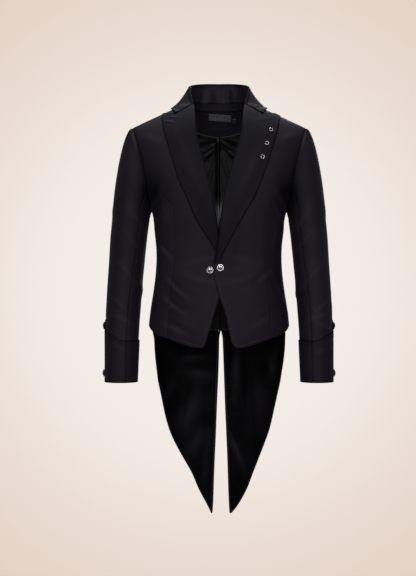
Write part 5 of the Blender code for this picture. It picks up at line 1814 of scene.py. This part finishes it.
@dataclass
class Trim:
    """Domed metal buttons and the eyelets of the left lapel."""

    wardrobe: Wardrobe
    sleeves: Sleeves
    radius: float = 0.0096
    foot: float = 0.90  # share of the radius
    rim: tuple = (  # share of the radius, height
        (0.985, 0.0004), (1.0, 0.0011), (0.975, 0.0018), (0.92, 0.0022), (0.86, 0.0021), (0.82, 0.0015),
        (0.77, 0.0015))
    dome: tuple[float, float, float] = (0.74, 0.0014, 0.50)  # share of the radius, height of its middle, flatness
    front: tuple = ((Side.LEFT, 0.0025, -0.4059), (Side.RIGHT, 0.0233, -0.4116))
    front_clear: float = SEAM + 0.0008
    cuffs: tuple = (("upper", -8.0, -0.5535), ("lower", -5.0, -0.6740))  # name, angle, height
    cuff_clear: float = 0.0010
    eyelet_clear: float = LAPEL_CLEAR + WALL + 0.0003
    # painted shade on the metal's rim
    rim_shade: float = 0.65
    rim_band: tuple[float, float] = (0.70, 0.96)  # shares of the radius between which the painted shade sets in

    def master_button(self) -> bpy.types.Object:
        """Models the button: a stepped rim round a dome of flat facets, over a short thread shank."""
        piece = ring_of(48, self.radius * self.foot, "NGON")
        grow(((self.radius * share, height) for share, height in self.rim), self.radius * self.foot)
        bpy.ops.mesh.select_all(action="DESELECT")
        share, height, flatness = self.dome
        middle = (0.0, 0.0, height)
        bpy.ops.mesh.primitive_ico_sphere_add(subdivisions=2, radius=self.radius * share, location=middle)
        bpy.ops.transform.resize(value=(1.0, 1.0, flatness), center_override=middle)
        bpy.ops.mesh.select_all(action="DESELECT")
        bpy.ops.mesh.primitive_cylinder_add(vertices=16, radius=0.0021, depth=0.0010, location=(0.0, 0.0, -0.0003))
        bpy.ops.object.mode_set(mode="OBJECT")
        return piece

    @staticmethod
    def master_eyelet() -> bpy.types.Object:
        """Models the eyelet: a pressed flange that rolls into a barrel."""
        hole, rim = EYELETS[0].hole, EYELETS[0].rim
        piece = ring_of(40, hole, "NOTHING")
        grow(((hole + 0.0003, 0.0007), (hole + 0.0010, 0.0011), (rim - 0.0016, 0.0012), (rim - 0.0006, 0.0009),
              (rim, 0.0003), (rim - 0.0004, 0.0002), (hole + 0.0007, 0.0003), (hole + 0.0006, -0.0019),
              (hole, -0.0019), (hole, 0.0)), hole)
        bpy.ops.mesh.select_all(action="SELECT")
        bpy.ops.mesh.remove_doubles(threshold=0.00002)
        bpy.ops.object.mode_set(mode="OBJECT")
        return piece

    def finish(self, piece: bpy.types.Object, degrees_kept: float) -> None:
        """Turns a master's faces out, paints shade on its rim and rounds all but its sharp edges."""
        turn_outwards(piece.data)
        shade = piece.data.color_attributes.new("shade", "FLOAT_COLOR", "POINT")
        reach = max(vertex.co.xy.length for vertex in piece.data.vertices)
        for vertex, item in zip(piece.data.vertices, shade.data):
            # painted shade on the rim
            value = 1.0 - self.rim_shade * fade(vertex.co.xy.length / reach, *self.rim_band)
            item.color = (value, value, value, 1.0)
        bpy.ops.object.select_all(action="DESELECT")
        piece.select_set(True)
        bpy.context.view_layer.objects.active = piece
        bpy.ops.object.shade_smooth_by_angle(angle=radians(degrees_kept))

    @staticmethod
    def copy(master: bpy.types.Object, name: str, point: Vector, normal: Vector) -> bpy.types.Object:
        """Copies a master with its own mesh onto a point, with its axis along a normal."""
        mesh = master.data.copy()
        mesh.name = name
        mesh.transform(normal.to_track_quat("Z", "Y").to_matrix().to_4x4())
        mesh.transform(Matrix.Translation(point))
        return add_object(name, mesh)

    def build(self) -> None:
        """Builds every button and eyelet."""
        button, ring = self.master_button(), self.master_eyelet()
        self.finish(button, degrees_kept=14.0)
        self.finish(ring, degrees_kept=60.0)
        spots = [(button, f"front_button_{side.word}", *front_spot(side, x, height, self.front_clear))
                 for side, x, height in self.front]
        outs = (self.sleeves.cuff_clear + WALL + self.cuff_clear, -0.01)
        for side in Side:
            for name, angle, height in self.cuffs:
                back = look_up(self.sleeves.seams, height, 2)
                part = self.sleeves.ring + angle * (self.sleeves.ring - self.sleeves.seam_parts[1]) / (360.0 - back)
                point, inside = self.sleeves.skin(side, part, self.sleeves.down_at(height), outs)
                spots.append((button, f"cuff_button_{name}_{side.word}", point, (point - inside).normalized()))
        for number, eyelet in enumerate(EYELETS, 1):
            spot = front_spot(Side.LEFT, eyelet.x, eyelet.height, self.eyelet_clear)
            spots.append((ring, f"eyelet_{number}", *spot))
        for master, node, point, normal in spots:
            dress(self.copy(master, f"{node}_metal", point, normal), self.wardrobe.metal, node)
        for master in (button, ring):
            bpy.data.objects.remove(master, do_unlink=True)


# Studio

@dataclass
class Studio:
    """A plain pale floor, a warm pale backdrop, soft lights and a level camera in front of the coat."""

    distance: float = 3.3
    aim: Vector = Vector((-0.0283, 0.0, -0.457))
    pixel: float = 0.00257
    wide: int = 416
    sensor: float = 36.0
    floor_height: float = -2.6
    floor_colours: tuple = ((0.78, 0.72, 0.67), (0.82, 0.76, 0.71))
    shades: tuple = (  # painted light on the backdrop: cosine of the angle from straight ahead, colour
        (0.9665, (0.783, 0.651, 0.565)), (0.9819, (0.831, 0.730, 0.665)), (0.9934, (0.896, 0.840, 0.791)),
        (1.0, (0.913, 0.855, 0.812)))
    ambient: tuple = (0.80, 0.82, 0.92)
    ambient_strength: float = 0.22
    lamps: tuple = (  # name, place, size, power
        ("key", (-1.1, -3.1, 0.9), 1.5, 38.0), ("fill", (1.2, -3.1, 0.7), 1.5, 31.0),
        ("top", (0.0, 0.2, 2.0), 1.2, 50.0), ("front", (0.0, -3.3, -0.1), 0.4, 6.0),
        ("back", (0.9, 3.0, 1.0), 1.8, 45.0))
    lit_above_aim: float = 0.15

    def camera(self) -> None:
        """Places the camera."""
        data = bpy.data.cameras.new("Front camera")
        data.sensor_fit, data.sensor_width = "HORIZONTAL", self.sensor
        data.lens = self.sensor * self.distance / (self.wide * self.pixel)
        camera = add_object("Front camera", data)
        camera.location = self.aim - Vector((0.0, self.distance, 0.0))
        camera.rotation_euler = (radians(90.0), 0.0, 0.0)
        bpy.context.scene.camera = camera

    def world(self) -> None:
        """Makes a backdrop with a painted pool of light, palest straight behind the coat; all but the camera sees an
        even dim room.
        """
        world = bpy.data.worlds.new("Backdrop")
        bpy.context.scene.world = world
        world.use_nodes = True
        tree = world.node_tree
        seen, out = tree.nodes["Background"], tree.nodes["World Output"]
        place, split, ramp, room, rays, mix = (tree.nodes.new(f"ShaderNode{kind}") for kind in (
            "TexCoord", "SeparateXYZ", "ValToRGB", "Background", "LightPath", "MixShader"))
        for _ in self.shades[2:]:
            ramp.color_ramp.elements.new(1.0)
        for stop, (position, colour) in zip(ramp.color_ramp.elements, self.shades):
            stop.position, stop.color = position, (*colour, 1.0)
        room.inputs["Color"].default_value = (*self.ambient, 1.0)
        room.inputs["Strength"].default_value = self.ambient_strength
        for source, given, target, taken in (
                (place, "Generated", split, "Vector"), (split, "Y", ramp, "Fac"), (ramp, "Color", seen, "Color"),
                (rays, "Is Camera Ray", mix, "Fac"), (room, "Background", mix, 1), (seen, "Background", mix, 2),
                (mix, "Shader", out, "Surface")):
            tree.links.new(source.outputs[given], target.inputs[taken])

    def floor(self) -> None:
        """Lays a round pale floor."""
        bpy.ops.mesh.primitive_circle_add(vertices=96, radius=3.0, fill_type="NGON")
        floor = bpy.context.object
        floor.name = "floor"
        floor.data.transform(Matrix.Translation((0.0, 0.0, self.floor_height)))
        shader = Shader("pale_floor")
        colour = shader.ramp(shader.noise(shader.place, 1.5), *self.floor_colours)
        floor.data.materials.append(shader.surface(Base_Color=colour, Roughness=0.8))

    def light(self) -> None:
        """Hangs the soft lights."""
        lit = self.aim + Vector((0.0, 0.0, self.lit_above_aim))
        for name, place, size, power in self.lamps:
            data = bpy.data.lights.new(f"{name}_light", "AREA")
            data.shape, data.size, data.energy = "DISK", size, power
            lamp = add_object(f"{name}_light", data)
            lamp.location = place
            lamp.rotation_euler = (lit - lamp.location).to_track_quat("-Z", "Y").to_euler()

    def build(self) -> None:
        """Sets the whole studio."""
        self.floor()
        self.world()
        self.light()
        self.camera()
        view = bpy.context.scene.view_settings
        view.view_transform, view.look, view.exposure, view.gamma = "Standard", "None", 0.0, 1.0


# Creases, in the plane of X and Z; the comment names what the group that starts there stands for

FRONT_CREASES = Fold.table(
    (-140, -364, -48, 22, 6, 3, 0, 0.5),  # drag lines from the right side seam
    (-110.5, -459, -44, 30, 6.5, 3.6, 2, 0.6), (-121, -500, -40, 28, 6.5, 3.3, 2, 0.6),
    (-115, -560, -26, 26, 8, 3.6, 0, 0.4),
    (-50, -436, -14, 55, 9, 1, 0, 0.5),  # pull towards the button
    (-55, -392, 12, 45, 9, 0.9, 0, 0.4), (62, -388, -13, 45, 9, 0.9, 0, 0.4), (56, -436, 14, 50, 9, 1, 0, 0.5),
    (-139.5, -266, -86, 20, 4, 2.2), (-131, -268, -86, 18, 3.5, 1.7), (140, -330, 84, 30, 6, 1.5),
    (154, -470, -68, 50, 3, 1.5), (115, -430, 40, 26, 7, 1.9, -2, 0.5), (108, -545, 32, 26, 8, 1.9),
    (-158, -232, 62, 30, 6, 2.7, 3, 0.6), (158, -236, -62, 30, 6, 2.6, -3, 0.6), (-150, -270, 70, 30, 5.5, 1.9),
    (152, -276, -70, 30, 5.5, 2), (-175, -80, -20, 30, 10, 1.4), (178, -75, 22, 30, 10, 1.4))
BACK_CREASES = Fold.table(
    (-30, -430, 12, 50, 10, 1.2, 0, 0.5), (40, -450, -10, 50, 10, 1.2), (-70, -360, 30, 45, 10, 1.1),
    (75, -350, -28, 45, 10, 1.1), (-135, -250, 70, 40, 8, 1.4, 0, 0.5), (140, -245, -70, 40, 8, 1.4),
    (-50, -110, 4, 50, 14, 0.8), (60, -120, -6, 50, 14, 0.8))
TAIL_CREASES = Fold.table(
    (-140, -640, 76, 60, 8, 1.6), (142, -650, -76, 60, 8, 1.6), (-80, -760, 84, 110, 10, 1.8),
    (85, -780, -86, 110, 10, 1.8), (-48, -930, 80, 80, 10, 1.4), (50, -920, -82, 80, 10, 1.4))
SATIN_CREASES = Fold.table(
    (-62, -646, 4, 36, 10, 2.4), (-50, -690, -6, 40, 15, 2.2), (-115, -700, 62, 50, 13, 1.6),
    (-75, -790, 70, 60, 20, 2.2), (-60, -880, 62, 50, 18, 2), (44, -680, 88, 80, 9, 3.4), (68, -700, 92, 70, 6, -1),
    (142, -650, 82, 45, 12, 3), (112, -730, 100, 50, 15, 1.8), (43, -884, 112, 45, 7, 3.4),
    (-35, -930, 84, 70, 10, 1.4))
LINING_CREASES = Fold.table(
    (-24.5, -84, 29, 24, 3.6, 3.4, 0, 0.6), (30, -83, -35, 22, 3.6, 3.4, 0, 0.6), (-30, -104, 42, 26, 4.4, 2.4),
    (38, -104, -44, 24, 4.4, 2.4), (-20, -150, 72, 60, 6, 1.6), (26, -160, -74, 60, 6, 1.6),
    (-50, -70, 18, 30, 6, 1.4), (50, -70, -18, 30, 6, 1.4), (10, -255, 84, 50, 6, 2))
FACING_CREASES = Fold.table(
    (-50, -30, 60, 16, 6, 0.8), (54, -30, -60, 16, 6, 0.8), (10, -38, 5, 40, 5, 0.6))
COLLAR_CREASES = Fold.table(
    (-40, 45, 86, 30, 6, 3.9), (-16, 44, 92, 30, 7, -3.3), (12, 44, 90, 30, 6, 3.3), (36, 46, 95, 30, 6, -3.3),
    (-110, 0, -20, 20, 4, 1.8), (108, 4, 20, 20, 4, 1.3))
LAPEL_CREASES = Fold.table(
    (-116, -14, 0, 10, 2.2, 1.6), (-118, -25, -4, 11, 2.4, 1.6), (-126, -37, -10, 12, 2.8, 1.4),
    (-75, -150, -68, 70, 12, 1.5), (80, -160, 66, 70, 12, 1.5), (-70, -260, -62, 50, 11, 1.2),
    (66, -270, 60, 50, 11, 1.2), (112, -30, 10, 18, 6, 1))
ARM_CREASES = ArmFold.table(
    Side.LEFT, (-500, 60, 40, 6, 1.5, 0.6), (-535, 95, 45, 6, 1.5), (-560, 50, 35, 5, 1.4, -0.4),
    (-430, 100, 40, 7, 1.3, 0.7), (-300, 130, 35, 8, 1.5, 0.8), (-345, 120, 35, 8, 1.2, 0.8), (-480, 200, 40, 8, 1.5),
    (-620, 80, 40, 7, 0.9), (-250, 20, 30, 12, 1, -0.9)) + ArmFold.table(
    Side.RIGHT, (-490, 65, 40, 6, 1.4, 0.6), (-540, 100, 45, 6, 1.4), (-415, 95, 40, 7, 1.2, 0.7),
    (-295, 130, 35, 8, 1.5, 0.8), (-350, 120, 35, 8, 1.2, 0.8), (-470, 205, 40, 8, 1.5), (-610, 85, 40, 7, 0.9),
    (-245, 25, 30, 12, 1, -0.9))


def main() -> None:
    """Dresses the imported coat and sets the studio."""
    logging.basicConfig(level=logging.INFO, format="%(name)s %(levelname)s %(message)s", stream=sys.stdout)
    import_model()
    wardrobe = Wardrobe()
    panels = BodyPanels(wardrobe, creases=FRONT_CREASES, back_creases=BACK_CREASES)
    panels.build()
    Tails(wardrobe, creases=TAIL_CREASES, satin_creases=SATIN_CREASES).build()
    Lapels(wardrobe, creases=LAPEL_CREASES).build()
    CollarSet(wardrobe, panels, creases=COLLAR_CREASES).build()
    Inside(wardrobe, panels, creases=LINING_CREASES, facing_creases=FACING_CREASES).build()
    sleeves = Sleeves(wardrobe, creases=ARM_CREASES)
    sleeves.build()
    Trim(wardrobe, sleeves).build()
    Studio().build()


if __name__ == "__main__":
    main()
